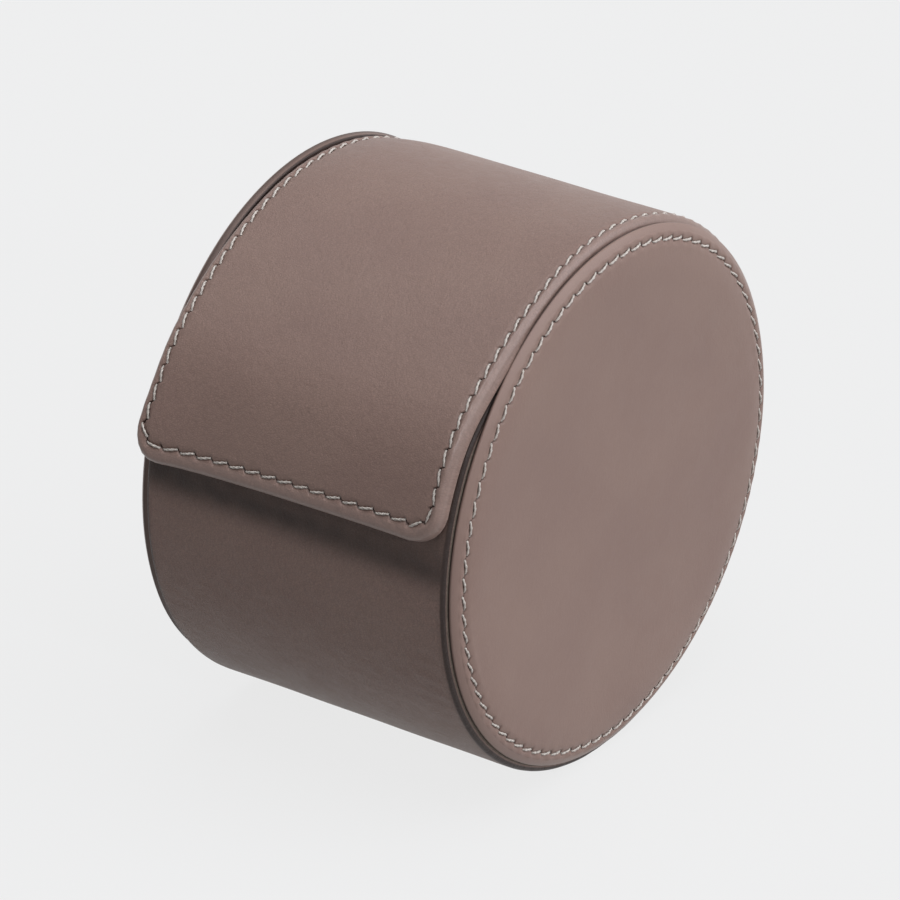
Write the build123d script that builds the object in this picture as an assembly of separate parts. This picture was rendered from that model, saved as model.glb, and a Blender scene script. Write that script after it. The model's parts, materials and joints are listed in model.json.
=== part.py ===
from build123d import *
import os
from math import atan2, cos, degrees, pi, radians, sin, sqrt

# A round watch roll that lies on its side, in millimetres.
# X runs along the drum, from the left end to the right end. The flap's lip is at the front, -Y.
# The origin is on the small flat under the drum, at mid length.
# Angles round the drum are measured from straight up and grow towards the front, so the front
# is at 90, the bottom at 180 and the back at 270 or -90.

# Drum
tube_radius = 46.1  # outside of the body leather
tube_length = 57.4  # between the inner faces of the two ends
leather = 1.0  # body and flap leather
tube_board_thickness = 2.0
tube_lining_thickness = 0.7
base_flat_depth = 0.5  # the leather is pressed flat underneath, so that the case doesn't roll
seam_round = 0.7  # the body leather rolls down to the seam at each end
front_edge_angle = 45.0  # top edge of the front wall, which is thinned to fit under the flap
front_edge_leather = 4.0  # width of the leather turned over that edge, up to the board
front_edge_gap = 0.35  # between the thinned edge and the flap
front_edge_round = 0.5

# Ends, with depths measured outwards from the seam and margins measured inwards from the rim
end_step = 1.3  # the ends' rims lie this far inside the body leather
end_lining_thickness = 0.35
end_board_thickness = 0.7
end_leather = 0.85
end_turn_in = 2.8  # width of the leather turned over onto the inner face
crown_depth = 2.55  # top of the padded face
shoulder_depth = 2.15  # where the face starts to fall to the stitches
shoulder_margin = 7.5
valley_depth = 1.5  # row of stitches
valley_margin = 2.3
bead_depth = 1.65  # top of the rolled rim
bead_margin = 1.1
rim_straight = 0.75  # straight part of the rim beside the seam
rim_inner_round = 0.3
foam_edge_thickness = 0.1
foam_margin = 4.5

# Flap
flap_rise = 0.9  # the flap stands this far above the ends' rims at the top
flap_padding_thickness = 0.5
flap_board_thickness = 1.0
flap_lining_thickness = 0.5
flap_side_gap = 0.35  # between the flap's edge and each end
lip_clearance = 0.4  # between the flap's lining and the body leather under the lip
hug_end_angle = 18.0  # the flap is round up to here
lip_start_angle = 62.0  # and lies over the front wall from here
lip_end_angle = 77.6
lip_blend_radius = 25.0  # the bend between the two
lip_corner_radius = 5.5
flap_edge_round = 1.4
side_stitch_margin = 1.65
lip_stitch_margin = 3.05
stitch_corner_radius = 3.2

# Hinge, a fold in the leather at the back
hinge_angle = -78.0
hinge_proud = 0.1  # the fold's axis lies this far outside the body leather
fold_gap = 0.25  # from the axis to the leather on each side
board_fold_gap = 2.0  # from the axis to the board on each side, so that the leather can fold

# Stitches
stitch_pitch = 3.1
stitch_length = 2.3
thread_radius = 0.28
thread_depth = 0.02  # the thread's centre lies this far below the leather
thread_clearance = 0.03

# Magnets
magnet_radius = 5.0
magnet_clearance = 0.05
body_magnet_thickness = 1.35
flap_magnet_thickness = 0.9
magnet_seat = 0.1  # from each magnet to the lining under it
magnet_spacing = 30.0
magnet_edge_gap = 0.5  # from each magnet's hole to the board's edge at the lip

# Cushion
strap_gap = 13.4  # room for a strap in front of the cushion and behind it
watch_room = 29.5  # height left above the cushion
cushion_rest_gap = 0.3
cushion_end_gap = 0.4
cushion_roundness = 5.5  # how much sharper the front and back are than a circle
cushion_suede = 0.6
cushion_panel_thickness = 0.9
end_draw_in = 3.6  # the cushion's ends are smaller than its middle by this much all round
shoulder_draw_in = 1.3
cushion_shoulder = 5.5  # from the end to the shoulder
crown_draw_in = 0.35
cushion_crown = 13.0  # from the end to the edge of the crown

# Worked out from those
axis_height = tube_radius - base_flat_depth
board_radius = tube_radius - leather
tube_lining_radius = board_radius - tube_board_thickness
bore_radius = tube_lining_radius - tube_lining_thickness
half_tube = tube_length / 2
end_radius = tube_radius - end_step
end_board_depth = end_lining_thickness + end_board_thickness
flap_board_depth = leather + flap_padding_thickness
flap_lining_depth = flap_board_depth + flap_board_thickness
flap_thickness = flap_lining_depth + flap_lining_thickness
flap_radius = end_radius + flap_rise
flap_half_width = half_tube - flap_side_gap
lip_radius = tube_radius + lip_clearance + flap_thickness
channel_radius = thread_radius + thread_clearance
cushion_half_length = half_tube - cushion_end_gap
cushion_half_depth = bore_radius - strap_gap
cushion_half_height = bore_radius - (watch_room + cushion_rest_gap) / 2
cushion_centre = axis_height - bore_radius + cushion_rest_gap + cushion_half_height
past = 1.0  # how far a cutter runs past what it cuts
same = 0.001  # radii that differ by less are the same

# An end is turned about the drum's axis from a profile of (depth from the seam, radius)
END_PROFILE = Plane(origin=(half_tube, 0, axis_height), x_dir=(1, 0, 0), z_dir=(0, -1, 0))
DRUM_AXIS = Axis((0, 0, axis_height), (1, 0, 0))
CENTRE = Vector(0, 0)
STANDING = (Align.CENTER, Align.CENTER, Align.MIN)


def across(x, height):
    return Plane(origin=(x, 0, height), x_dir=(0, 1, 0), z_dir=(1, 0, 0))


def toward(angle):
    return Vector(-sin(radians(angle)), cos(radians(angle)))


def arc_angle(length, radius):
    return degrees(length / radius)


def arc_about(centre, radius, start, end):
    angles = (start, (start + end) / 2, end)
    return ThreePointArc(*[centre + toward(angle) * radius for angle in angles])


def extruded(face, half_width):
    return extrude(across(0, axis_height) * face, amount=half_width, both=True)


def closed_band(outside, inside):
    end_line = Line(outside[-1] @ 1, inside[0] @ 0)
    start_line = Line(inside[-1] @ 1, outside[0] @ 0)
    return make_face([*outside, end_line, *inside, start_line])


def ring_sector(inner, outer, start, end):
    return closed_band([arc_about(CENTRE, outer, start, end)], [arc_about(CENTRE, inner, end, start)])


def facing(angle, distance, x):
    direction = toward(angle)
    origin = (x, direction.X * distance, axis_height + direction.Y * distance)
    return Plane(origin=origin, x_dir=(1, 0, 0), z_dir=(0, direction.X, direction.Y))


def group(solids):
    return Compound(children=solids)


# Drum

fold_end = 360 + hinge_angle - arc_angle(fold_gap, tube_radius)
board_fold_end = 360 + hinge_angle - arc_angle(board_fold_gap, tube_radius)
board_front_angle = front_edge_angle + arc_angle(front_edge_leather, tube_radius)


def wall(inner, outer, start, end, cover):
    """Part of the drum's wall, thinned at the front to lie under the flap and that much leather."""
    depth = flap_thickness + front_edge_gap + cover
    under_flap = closed_band(flap_curve(-past, 0, 0), reversed_curve(depth, 0, 0))
    return extruded(ring_sector(inner, outer, start, end) - under_flap, half_tube)


def body_leather():
    inside = wall(bore_radius - past, board_radius, board_front_angle, fold_end + past, leather)
    body = wall(bore_radius, tube_radius, front_edge_angle, fold_end, 0) - inside
    upwards = Axis((0, 0, 0), (0, cos(radians(front_edge_angle)), sin(radians(front_edge_angle))))
    lines = body.edges().filter_by(GeomType.LINE).filter_by(Axis.X).sort_by(upwards)
    body = fillet([line for line in lines if line.center().Y < 0][-2:], front_edge_round)
    arcs = body.edges().filter_by(GeomType.CIRCLE)
    body = fillet([arc for arc in arcs if abs(arc.radius - tube_radius) < same], seam_round)
    floor_size = (tube_length + 2 * past, 2 * tube_radius, tube_radius)
    return body - Box(*floor_size, align=(Align.CENTER, Align.CENTER, Align.MAX))


def tube_board():
    board = wall(tube_lining_radius, board_radius, board_front_angle, board_fold_end, leather)
    return board - magnet_discs(magnet_clearance, bore_radius, tube_radius)


def tube_lining():
    return wall(bore_radius, tube_lining_radius, board_front_angle, fold_end, leather)


# Magnets, two in the front wall and two in the flap's lip

magnet_margin = leather + magnet_edge_gap + magnet_clearance + magnet_radius
magnet_angle = lip_end_angle - arc_angle(magnet_margin, lip_radius)


def magnet_discs(clearance, low, high):
    disc = Cylinder(magnet_radius + clearance, high - low, align=STANDING)
    return [facing(magnet_angle, low, x) * disc for x in (-magnet_spacing / 2, magnet_spacing / 2)]


def magnets_on(lining_radius, thickness):
    low = lining_radius + magnet_seat
    return group(magnet_discs(0, low, low + thickness))


# Ends, made on the right and mirrored to the left

def turned(outline):
    return revolve(END_PROFILE * make_face(outline), axis=DRUM_AXIS)


def disc(low, high, radius):
    corners = [(low, 0), (low, radius), (high, radius), (high, 0)]
    return turned(Polyline(*corners, close=True).edges())


def crown_arc(edge_depth, edge_radius, top_depth):
    rise = top_depth - edge_depth
    sphere = (edge_radius**2 + rise**2) / (2 * rise)
    middle = edge_radius / 2
    middle_depth = top_depth - sphere + sqrt(sphere**2 - middle**2)
    return ThreePointArc((edge_depth, edge_radius), (middle_depth, middle), (top_depth, 0))


def end_block():
    valley = (valley_depth, end_radius - valley_margin)
    rim = (rim_straight, end_radius)
    bead = ThreePointArc(rim, (bead_depth, end_radius - bead_margin), valley)
    crown = crown_arc(shoulder_depth, end_radius - shoulder_margin, crown_depth)
    shoulder = TangentArc(crown @ 0, valley, tangent=crown % 0 * -1)
    inner_round = ThreePointArc(
        (0, end_radius - rim_inner_round),
        (rim_inner_round * (1 - sqrt(0.5)), end_radius - rim_inner_round * (1 - sqrt(0.5))),
        (rim_inner_round, end_radius),
    )
    axis_line = Line(crown @ 1, (0, 0))
    face_line = Line((0, 0), inner_round @ 0)
    rim_line = Line(inner_round @ 1, rim)
    return turned([axis_line, face_line, inner_round, rim_line, bead, shoulder, crown])


def end_lining():
    return disc(0, end_lining_thickness, end_radius - end_turn_in)


def end_board():
    return disc(end_lining_thickness, end_board_depth, end_radius - end_leather)


def end_foam():
    edge_radius = end_radius - foam_margin
    edge_depth = end_board_depth + foam_edge_thickness
    crown = crown_arc(edge_depth, edge_radius, crown_depth - end_leather)
    edge_line = Line((end_board_depth, edge_radius), crown @ 0)
    axis_line = Line(crown @ 1, (end_board_depth, 0))
    base_line = Line((end_board_depth, 0), (end_board_depth, edge_radius))
    return turned([edge_line, crown, axis_line, base_line])


def end_leather_cover():
    thread_line = (valley_depth - thread_depth, end_radius - valley_margin)
    channel = revolve(END_PROFILE * (Pos(*thread_line) * Circle(channel_radius)), axis=DRUM_AXIS)
    return end_block() - end_lining() - end_board() - end_foam() - channel


def end_thread():
    row_radius = end_radius - valley_margin
    count = round(2 * pi * row_radius / stitch_pitch)
    row = Plane(origin=(half_tube + valley_depth - thread_depth, 0, axis_height), z_dir=(1, 0, 0))
    stitch = Cylinder(thread_radius, stitch_length, rotation=(90, 0, 0))
    return group([row * place * stitch for place in PolarLocations(row_radius, count)])


# Flap. Its outside is four arcs that run into each other: round the drum, a flatter stretch, the
# bend, and the lip. Each arc is (centre, radius, first angle, last angle). What lies at a depth
# under the leather has the same centres and smaller radii.

def flap_arcs():
    bend_offset = lip_radius - lip_blend_radius
    hug_offset = flap_radius - lip_blend_radius
    turn = cos(radians(lip_start_angle - hug_end_angle))
    flat_offset = (bend_offset**2 - hug_offset**2) / (2 * (hug_offset - bend_offset * turn))
    flat_centre = toward(hug_end_angle) * -flat_offset
    bend_centre = toward(lip_start_angle) * bend_offset
    joining = bend_centre - flat_centre
    join_angle = degrees(atan2(-joining.X, joining.Y))
    return [
        (CENTRE, flap_radius, hinge_angle, hug_end_angle),
        (flat_centre, flap_radius + flat_offset, hug_end_angle, join_angle),
        (bend_centre, lip_blend_radius, join_angle, lip_start_angle),
        (CENTRE, lip_radius, lip_start_angle, lip_end_angle),
    ]


row_x = flap_half_width - side_stitch_margin
row_angle = lip_end_angle - arc_angle(lip_stitch_margin, lip_radius)
row_radius = lip_radius - thread_depth
row_end_gap = lip_stitch_margin + stitch_corner_radius


def flap_curve(depth, hinge_gap, lip_gap):
    arcs = flap_arcs()
    first = hinge_angle + arc_angle(hinge_gap, flap_radius)
    last = lip_end_angle - arc_angle(lip_gap, lip_radius)
    arcs[0] = (*arcs[0][:2], first, hug_end_angle)
    arcs[-1] = (*arcs[-1][:2], lip_start_angle, last)
    return [arc_about(centre, radius - depth, start, end) for centre, radius, start, end in arcs]


def reversed_curve(depth, hinge_gap, lip_gap):
    curve = flap_curve(depth, hinge_gap, lip_gap)
    return [ThreePointArc(arc @ 1, arc @ 0.5, arc @ 0) for arc in reversed(curve)]


def flap_layer(top, bottom, margin, hinge_gap):
    outside = flap_curve(top, hinge_gap, margin)
    inside = reversed_curve(bottom, hinge_gap, margin)
    layer = extruded(closed_band(outside, inside), flap_half_width - margin)
    corners = layer.edges().filter_by(GeomType.LINE).filter_by(Axis.X, reverse=True).sort_by(Axis.Y)
    return fillet(corners[:2], lip_corner_radius - margin)


def flap_outer_edges(layer):
    arcs = flap_arcs()
    outer_radii = [radius for centre, radius, start, end in arcs]
    outer_faces = [face for face in layer.faces().filter_by(GeomType.CYLINDER)
                   if any(abs(face.radius - radius) < same for radius in outer_radii)]
    edges = ShapeList([edge for face in outer_faces for edge in face.edges()])
    lip_line = edges.filter_by(GeomType.LINE).filter_by(Axis.X).sort_by(Axis.Z)[0]
    return [*edges.filter_by(GeomType.LINE, reverse=True), lip_line]


def flap_thread_path():
    """The row of stitches, down the left side, along the lip and up the right side."""
    corner_end = facing(row_angle, row_radius, stitch_corner_radius - row_x).origin
    inset = stitch_corner_radius * (1 - sqrt(0.5))
    corner_middle = facing(row_angle - arc_angle(inset, lip_radius), row_radius, inset - row_x).origin
    run = flap_curve(thread_depth, board_fold_gap, row_end_gap)
    side = [across(-row_x, axis_height) * arc for arc in run]
    left = [*side, ThreePointArc(side[-1] @ 1, corner_middle, corner_end)]
    right = [mirror(edge, about=Plane.YZ) for edge in reversed(left)]
    right = [ThreePointArc(edge @ 1, edge @ 0.5, edge @ 0) for edge in right]
    return Wire([*left, Line(corner_end, right[0] @ 0), *right])


def flap_thread():
    path = flap_thread_path()
    count = round(path.length / stitch_pitch)
    middles = [(index + 0.5) / count for index in range(count)]
    stitch = Cylinder(thread_radius, stitch_length)
    return group([Plane(origin=path @ middle, z_dir=path % middle) * stitch for middle in middles])


def flap_channel():
    bottom = thread_depth + channel_radius
    spread = arc_angle(channel_radius, lip_radius)
    above = flap_curve(-past, 0, row_end_gap)
    below = reversed_curve(bottom, 0, row_end_gap)
    side = Pos(row_x, 0, 0) * extruded(closed_band(above, below), channel_radius)
    lip = ring_sector(lip_radius - bottom, lip_radius + past, row_angle - spread, row_angle + spread)
    corner_start = row_angle - arc_angle(stitch_corner_radius, lip_radius)
    corner_plane = facing(corner_start, lip_radius - bottom, row_x - stitch_corner_radius)
    outer = CenterArc((0, 0), stitch_corner_radius + channel_radius, -90, 90)
    inner = CenterArc((0, 0), stitch_corner_radius - channel_radius, 0, -90)
    corner = extrude(corner_plane * closed_band([outer], [inner]), amount=bottom + past)
    halves = [side, corner, mirror(side, about=Plane.YZ), mirror(corner, about=Plane.YZ)]
    return [extruded(lip, row_x - stitch_corner_radius), *halves]


def flap_leather():
    blank = flap_layer(0, flap_thickness, 0, fold_gap)
    cover = fillet(flap_outer_edges(blank), flap_edge_round)
    inside = flap_layer(leather, flap_thickness + past, leather, 0)
    return cover - inside - flap_channel()


def flap_padding():
    padding = flap_layer(leather, flap_board_depth, leather, board_fold_gap)
    return padding - flap_magnet_holes()


def flap_board():
    board = flap_layer(flap_board_depth, flap_lining_depth, leather, board_fold_gap)
    return board - flap_magnet_holes()


def flap_lining():
    return flap_layer(flap_lining_depth, flap_thickness, leather, fold_gap)


def flap_magnet_holes():
    return magnet_discs(magnet_clearance, lip_radius - flap_thickness, lip_radius)


# Cushion, a crowned oval whose ends draw in

def oval(draw_in):
    half_depth = cushion_half_depth - draw_in
    half_height = cushion_half_height - draw_in
    side_radius = half_height - cushion_roundness
    side_offset = half_depth - side_radius
    top_radius = (half_depth**2 + half_height**2 - 2 * half_depth * side_radius) / (2 * cushion_roundness)
    top_offset = top_radius - half_height
    turn = degrees(atan2(side_offset, top_offset))
    top = arc_about(Vector(0, -top_offset), top_radius, -turn, turn)
    front = arc_about(Vector(-side_offset, 0), side_radius, turn, 180 - turn)
    bottom = arc_about(Vector(0, top_offset), top_radius, 180 - turn, 180 + turn)
    back = arc_about(Vector(side_offset, 0), side_radius, 180 + turn, 360 - turn)
    return make_face([top, front, bottom, back])


def cushion_form(inset):
    stations = [
        (-cushion_half_length, end_draw_in),
        (cushion_shoulder - cushion_half_length, shoulder_draw_in),
        (cushion_crown - cushion_half_length, crown_draw_in),
        (0, 0),
        (cushion_half_length - cushion_crown, crown_draw_in),
        (cushion_half_length - cushion_shoulder, shoulder_draw_in),
        (cushion_half_length, end_draw_in),
    ]
    return loft([across(x, cushion_centre) * oval(draw_in + inset) for x, draw_in in stations])


def between(low, high):
    size = (high - low, 2 * tube_radius, 2 * tube_radius)
    return Pos(low, 0, cushion_centre) * Box(*size, align=(Align.MIN, Align.CENTER, Align.CENTER))


def cushion_core():
    reach = cushion_half_length - cushion_panel_thickness
    return cushion_form(cushion_suede) & between(-reach, reach)


def cushion_cover():
    reach = cushion_half_length - cushion_panel_thickness
    return (cushion_form(0) - cushion_form(cushion_suede)) & between(-reach, reach)


def cushion_panel():
    reach = cushion_half_length - cushion_panel_thickness
    return cushion_form(0) & between(reach, half_tube)


def mirrored(shape):
    return group([mirror(solid, about=Plane.YZ) for solid in shape.solids()])


parts = {
    "body_leather": body_leather(),
    "tube_board": tube_board(),
    "tube_lining": tube_lining(),
    "body_magnets": magnets_on(tube_lining_radius, body_magnet_thickness),
    "flap_leather": flap_leather(),
    "flap_thread": flap_thread(),
    "flap_padding": flap_padding(),
    "flap_board": flap_board(),
    "flap_lining": flap_lining(),
    "flap_magnets": magnets_on(lip_radius - flap_lining_depth, flap_magnet_thickness),
    "cushion_core": cushion_core(),
    "cushion_cover": cushion_cover(),
    "cushion_right_panel": cushion_panel(),
    "cushion_left_panel": mirrored(cushion_panel()),
}
ends = {
    "end_leather": end_leather_cover(),
    "end_thread": end_thread(),
    "end_foam": end_foam(),
    "end_board": end_board(),
    "end_lining": end_lining(),
}
for name, shape in ends.items():
    parts["right_" + name] = shape
    parts["left_" + name] = mirrored(shape)

os.makedirs("parts", exist_ok=True)
for name, shape in parts.items():
    export_step(shape, "parts/" + name + ".step")
    print(name, len(shape.solids()), "solids", round(shape.volume, 1), "cubic mm")
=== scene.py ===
import json
import math

import bmesh
import bpy
import numpy as np
from bpy.props import FloatProperty, FloatVectorProperty, IntProperty, PointerProperty
from mathutils import Matrix, Vector


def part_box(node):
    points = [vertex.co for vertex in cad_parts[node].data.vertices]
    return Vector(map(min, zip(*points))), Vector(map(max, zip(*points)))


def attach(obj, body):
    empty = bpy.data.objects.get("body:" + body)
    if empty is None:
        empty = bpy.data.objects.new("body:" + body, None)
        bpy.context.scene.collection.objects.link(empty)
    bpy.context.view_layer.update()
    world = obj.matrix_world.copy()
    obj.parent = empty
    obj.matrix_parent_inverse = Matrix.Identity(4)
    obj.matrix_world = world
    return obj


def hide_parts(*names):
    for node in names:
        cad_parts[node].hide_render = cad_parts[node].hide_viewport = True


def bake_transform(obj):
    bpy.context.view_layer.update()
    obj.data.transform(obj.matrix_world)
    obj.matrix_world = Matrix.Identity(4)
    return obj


bl_info = {
    "name": "Watch roll",
    "version": (1, 0, 0),
    "blender": (4, 5, 0),
    "location": "View3D > Sidebar > Watch roll",
    "description": "Dresses the watch roll's solids in leather, thread and suede",
    "category": "Object",
}

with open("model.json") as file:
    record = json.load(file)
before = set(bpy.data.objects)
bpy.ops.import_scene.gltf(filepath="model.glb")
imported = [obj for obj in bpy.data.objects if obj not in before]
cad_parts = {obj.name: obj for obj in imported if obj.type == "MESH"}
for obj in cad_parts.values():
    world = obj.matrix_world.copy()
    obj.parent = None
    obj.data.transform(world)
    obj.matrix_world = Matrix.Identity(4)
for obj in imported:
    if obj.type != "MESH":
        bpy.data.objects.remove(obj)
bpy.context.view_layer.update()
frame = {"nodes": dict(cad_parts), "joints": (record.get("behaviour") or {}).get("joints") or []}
END_LOW, END_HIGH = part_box("right_end_leather")
_, BODY_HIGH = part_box("body_leather")
_, FLAP_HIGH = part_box("flap_leather")
CUSHION_LOW, CUSHION_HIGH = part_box("cushion_cover")
HINGE = next(joint for joint in frame["joints"] if joint["name"] == "flap_hinge")

MM = 0.001
# Each end's name, and its direction along the drum
SIDES = (("right", 1), ("left", -1))
# Points in each ring of the cushion and its panels
CUSHION_STEPS = 272


def length(name, description, default):
    return FloatProperty(name=name, description=description, default=default, min=0.0, precision=5,
                         unit="LENGTH", subtype="DISTANCE")


def angle(name, description, default):
    return FloatProperty(name=name, description=description, default=math.radians(default),
                         unit="ROTATION", subtype="ANGLE")


def amount(name, description, default, most=1.0):
    return FloatProperty(name=name, description=description, default=default, min=0.0, max=most,
                         subtype="FACTOR")


def linear(code):
    """An sRGB hex colour as linear values."""
    parts = [int(code[at:at + 2], 16) / 255 for at in (0, 2, 4)]
    return tuple(p / 12.92 if p <= 0.04045 else ((p + 0.055) / 1.055) ** 2.4 for p in parts)


def colour(name, description, code):
    return FloatVectorProperty(name=name, description=description, default=linear(code),
                               subtype="COLOR", min=0.0, max=1.0)


class DrumSizes(bpy.types.PropertyGroup):
    axis_height: length("Axis height", "Height of the drum's axis above the table",
                        (END_LOW.z + END_HIGH.z) / 2)
    radius: length("Radius", "Outside of the body leather", 46.1 * MM)
    half_length: length("Half length", "From mid length to each end's seam", BODY_HIGH.x)
    leather: length("Leather", "Thickness of the body leather", 1.0 * MM)
    board_radius: length("Inside of the board", "Where the lining is glued on", 43.1 * MM)
    bore_radius: length("Bore", "Inside of the lining", 42.4 * MM)
    seam_roll: length("Seam roll", "Radius at which the body leather turns down to the seams", 0.7 * MM)
    front_edge: angle("Front edge", "Angle of the front wall's top edge", 45)
    front_edge_leather: length("Turned edge", "Leather turned over the front wall's edge", 4.0 * MM)
    front_edge_roll: length("Front edge roll", "Radius of the front wall's top edge", 0.5 * MM)
    front_edge_gap: length("Front edge gap", "Between the thinned front wall and the flap", 0.35 * MM)
    wrinkle: length("Wrinkles", "Height of the wrinkles in the front leather", 0.08 * MM)


class EndSizes(bpy.types.PropertyGroup):
    radius: length("Radius", "Outside of an end's rim", (END_HIGH.y - END_LOW.y) / 2)
    crown: length("Crown", "Height of the face's middle above the seam", END_HIGH.x - END_LOW.x)
    shoulder: length("Shoulder", "Height where the face starts to fall to the stitches", 2.15 * MM)
    shoulder_margin: length("Shoulder margin", "From the rim to the shoulder", 7.5 * MM)
    valley: length("Valley", "Height of the row of stitches", 1.6 * MM)
    valley_margin: length("Stitch margin", "From the rim to the row of stitches", 2.3 * MM)
    bead: length("Bead", "Height of the rolled rim", 1.32 * MM)
    bead_margin: length("Bead margin", "From the rim to the top of the bead", 1.1 * MM)
    rim: length("Rim", "Straight part of the rim beside the seam", 0.62 * MM)
    left_swell: length("Left swell", "How much fuller the rim of the left end is", 0.6 * MM)
    left_slack: length("Left slack", "How far that rim bulges at the front underside", 0.9 * MM)
    turn_in: length("Turned edge", "Leather turned over onto the inner face", 2.8 * MM)
    leather: length("Leather", "Thickness of the leather at the rim", 0.85 * MM)
    lining: length("Lining", "Thickness of the suede disc", 0.35 * MM)
    board_top: length("Board's top", "Height of the end's board above the seam", 1.05 * MM)
    pad_radius: length("Pad radius", "Outside of the foam pad on the board", 40.3 * MM)
    pad_crown: length("Pad's crown", "Height of the pad's middle above the seam", 1.7 * MM)
    unevenness: length("Unevenness", "Height of the slow waves in the face", 0.05 * MM)
    stitches: IntProperty(name="Stitches", description="Stitches round an end", default=86, min=3)


class FlapSizes(bpy.types.PropertyGroup):
    radius: length("Radius", "Outside of the flap where it goes round the drum", 45.7 * MM)
    half_width: length("Half width", "From mid length to the flap's edge", FLAP_HIGH.x)
    thickness: length("Thickness", "Leather, padding, board and lining together", 3.0 * MM)
    leather: length("Leather", "Thickness of the flap leather", 1.0 * MM)
    lining: length("Lining", "Thickness of the flap's suede", 0.5 * MM)
    lip_radius: length("Lip radius", "Outside of the flap at its lip", 49.5 * MM)
    blend_radius: length("Bend radius", "The bend before the lip", 25.0 * MM)
    hug_end: angle("Round part's end", "Where the flap stops being round", 18)
    lip_start: angle("Lip's start", "Where the flap lies over the front wall", 62)
    lip_end: angle("Lip's end", "The flap's front edge", 77.6)
    corner: length("Corner", "Radius of the lip's corners", 5.5 * MM)
    edge_roll: length("Edge roll", "Radius of the rolled edge", 1.4 * MM)
    side_margin: length("Side margin", "From the stitches to the flap's side", 1.65 * MM)
    lip_margin: length("Lip margin", "From the stitches to the lip's edge", 3.05 * MM)
    stitch_corner: length("Stitch corner", "Radius of the stitches' turn", 3.2 * MM)
    row_start: length("Row start", "From the hinge to the start of the stitches", 2.0 * MM)
    fold: length("Fold", "From the hinge to where the leather stops bending", 2.3 * MM)
    slant: length("Slant", "How far the lip sits lower on the left than in the middle", 0.5 * MM)
    bow: length("Bow", "How much shorter the flap is in the middle than at its sides", 0.5 * MM)
    stand_off: length("Stand-off", "How far the lip's left corner stands off the body", 1.2 * MM)
    stand_off_reach: length("Stand-off's reach", "How far round the corner that goes", 8.0 * MM)
    droop: length("Droop", "How far the lip's left corner is drawn down", 1.0 * MM)
    droop_reach: length("Droop's reach", "How far round the corner that goes", 3.0 * MM)
    bulge: length("Bulge", "How much wider the flap's right side is over the front wall", 0.3 * MM)
    sag: length("Sag", "How far the flap's left side is pulled down at the top", 0.9 * MM)
    sag_reach: length("Sag's reach", "How far in from the left side that goes", 5.0 * MM)
    skirt: length("Skirt", "How far the turned edge bulges under the roll", 0.28 * MM)
    unevenness: length("Unevenness", "Height of the slow waves in the leather", 0.05 * MM)
    stitches: IntProperty(name="Stitches", description="Stitches along the flap", default=95, min=3)


class StitchSizes(bpy.types.PropertyGroup):
    diameter: length("Thread", "Thickness of the waxed thread", 0.5 * MM)
    length: length("Stitch length", "From hole to hole", 2.5 * MM)
    lean: angle("Lean", "How far each stitch leans off the row", 13)
    rise: length("Rise", "Height of a stitch's middle above the valley", 0.08 * MM)
    dip: length("Dip", "Depth of a stitch's ends in their holes", 0.3 * MM)
    twist: FloatProperty(name="Twist", description="Turns of the two plies in one stitch", default=1.5)
    cut_width: length("Cut width", "Width of the awl's slanted cut", 0.2 * MM)
    cut_depth: length("Cut depth", "Depth of the awl's slanted cut", 0.45 * MM)
    hole: length("Hole", "Radius of the dimple round an awl's hole", 0.3 * MM)
    bed: length("Bed", "Half width of the groove under the thread", 0.34 * MM)
    pull: length("Pull", "How far the thread pulls the leather down", 0.2 * MM)
    pull_reach: length("Pull's reach", "How far beside the row the leather is pulled down", 0.8 * MM)
    pucker: length("Pucker", "Height of the leather that swells between the stitches", 0.09 * MM)
    pucker_offset: length("Pucker's place", "From the row to the puckers beside it", 0.9 * MM)


class CushionSizes(bpy.types.PropertyGroup):
    half_length: length("Half length", "From the middle to an end panel's crown", 28.3 * MM)
    half_depth: length("Half depth", "From the middle to the front", CUSHION_HIGH.y)
    half_height: length("Half height", "From the middle to the top",
                        (CUSHION_HIGH.z - CUSHION_LOW.z) / 2)
    centre: length("Centre", "Height of the cushion's middle", (CUSHION_HIGH.z + CUSHION_LOW.z) / 2)
    draw_in: length("Draw in", "How much smaller the ends are than the middle", 3.6 * MM)
    seam: length("Seam", "From an end panel's crown to its seam", 1.3 * MM)
    gather: length("Gathers' height", "Height of the puckers at each seam", 0.28 * MM)
    gathers: IntProperty(name="Gathers", description="Puckers round each seam", default=34, min=3)
    lumps: length("Lumps", "Height of the slow waves in the stuffed cover", 0.25 * MM)


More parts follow.
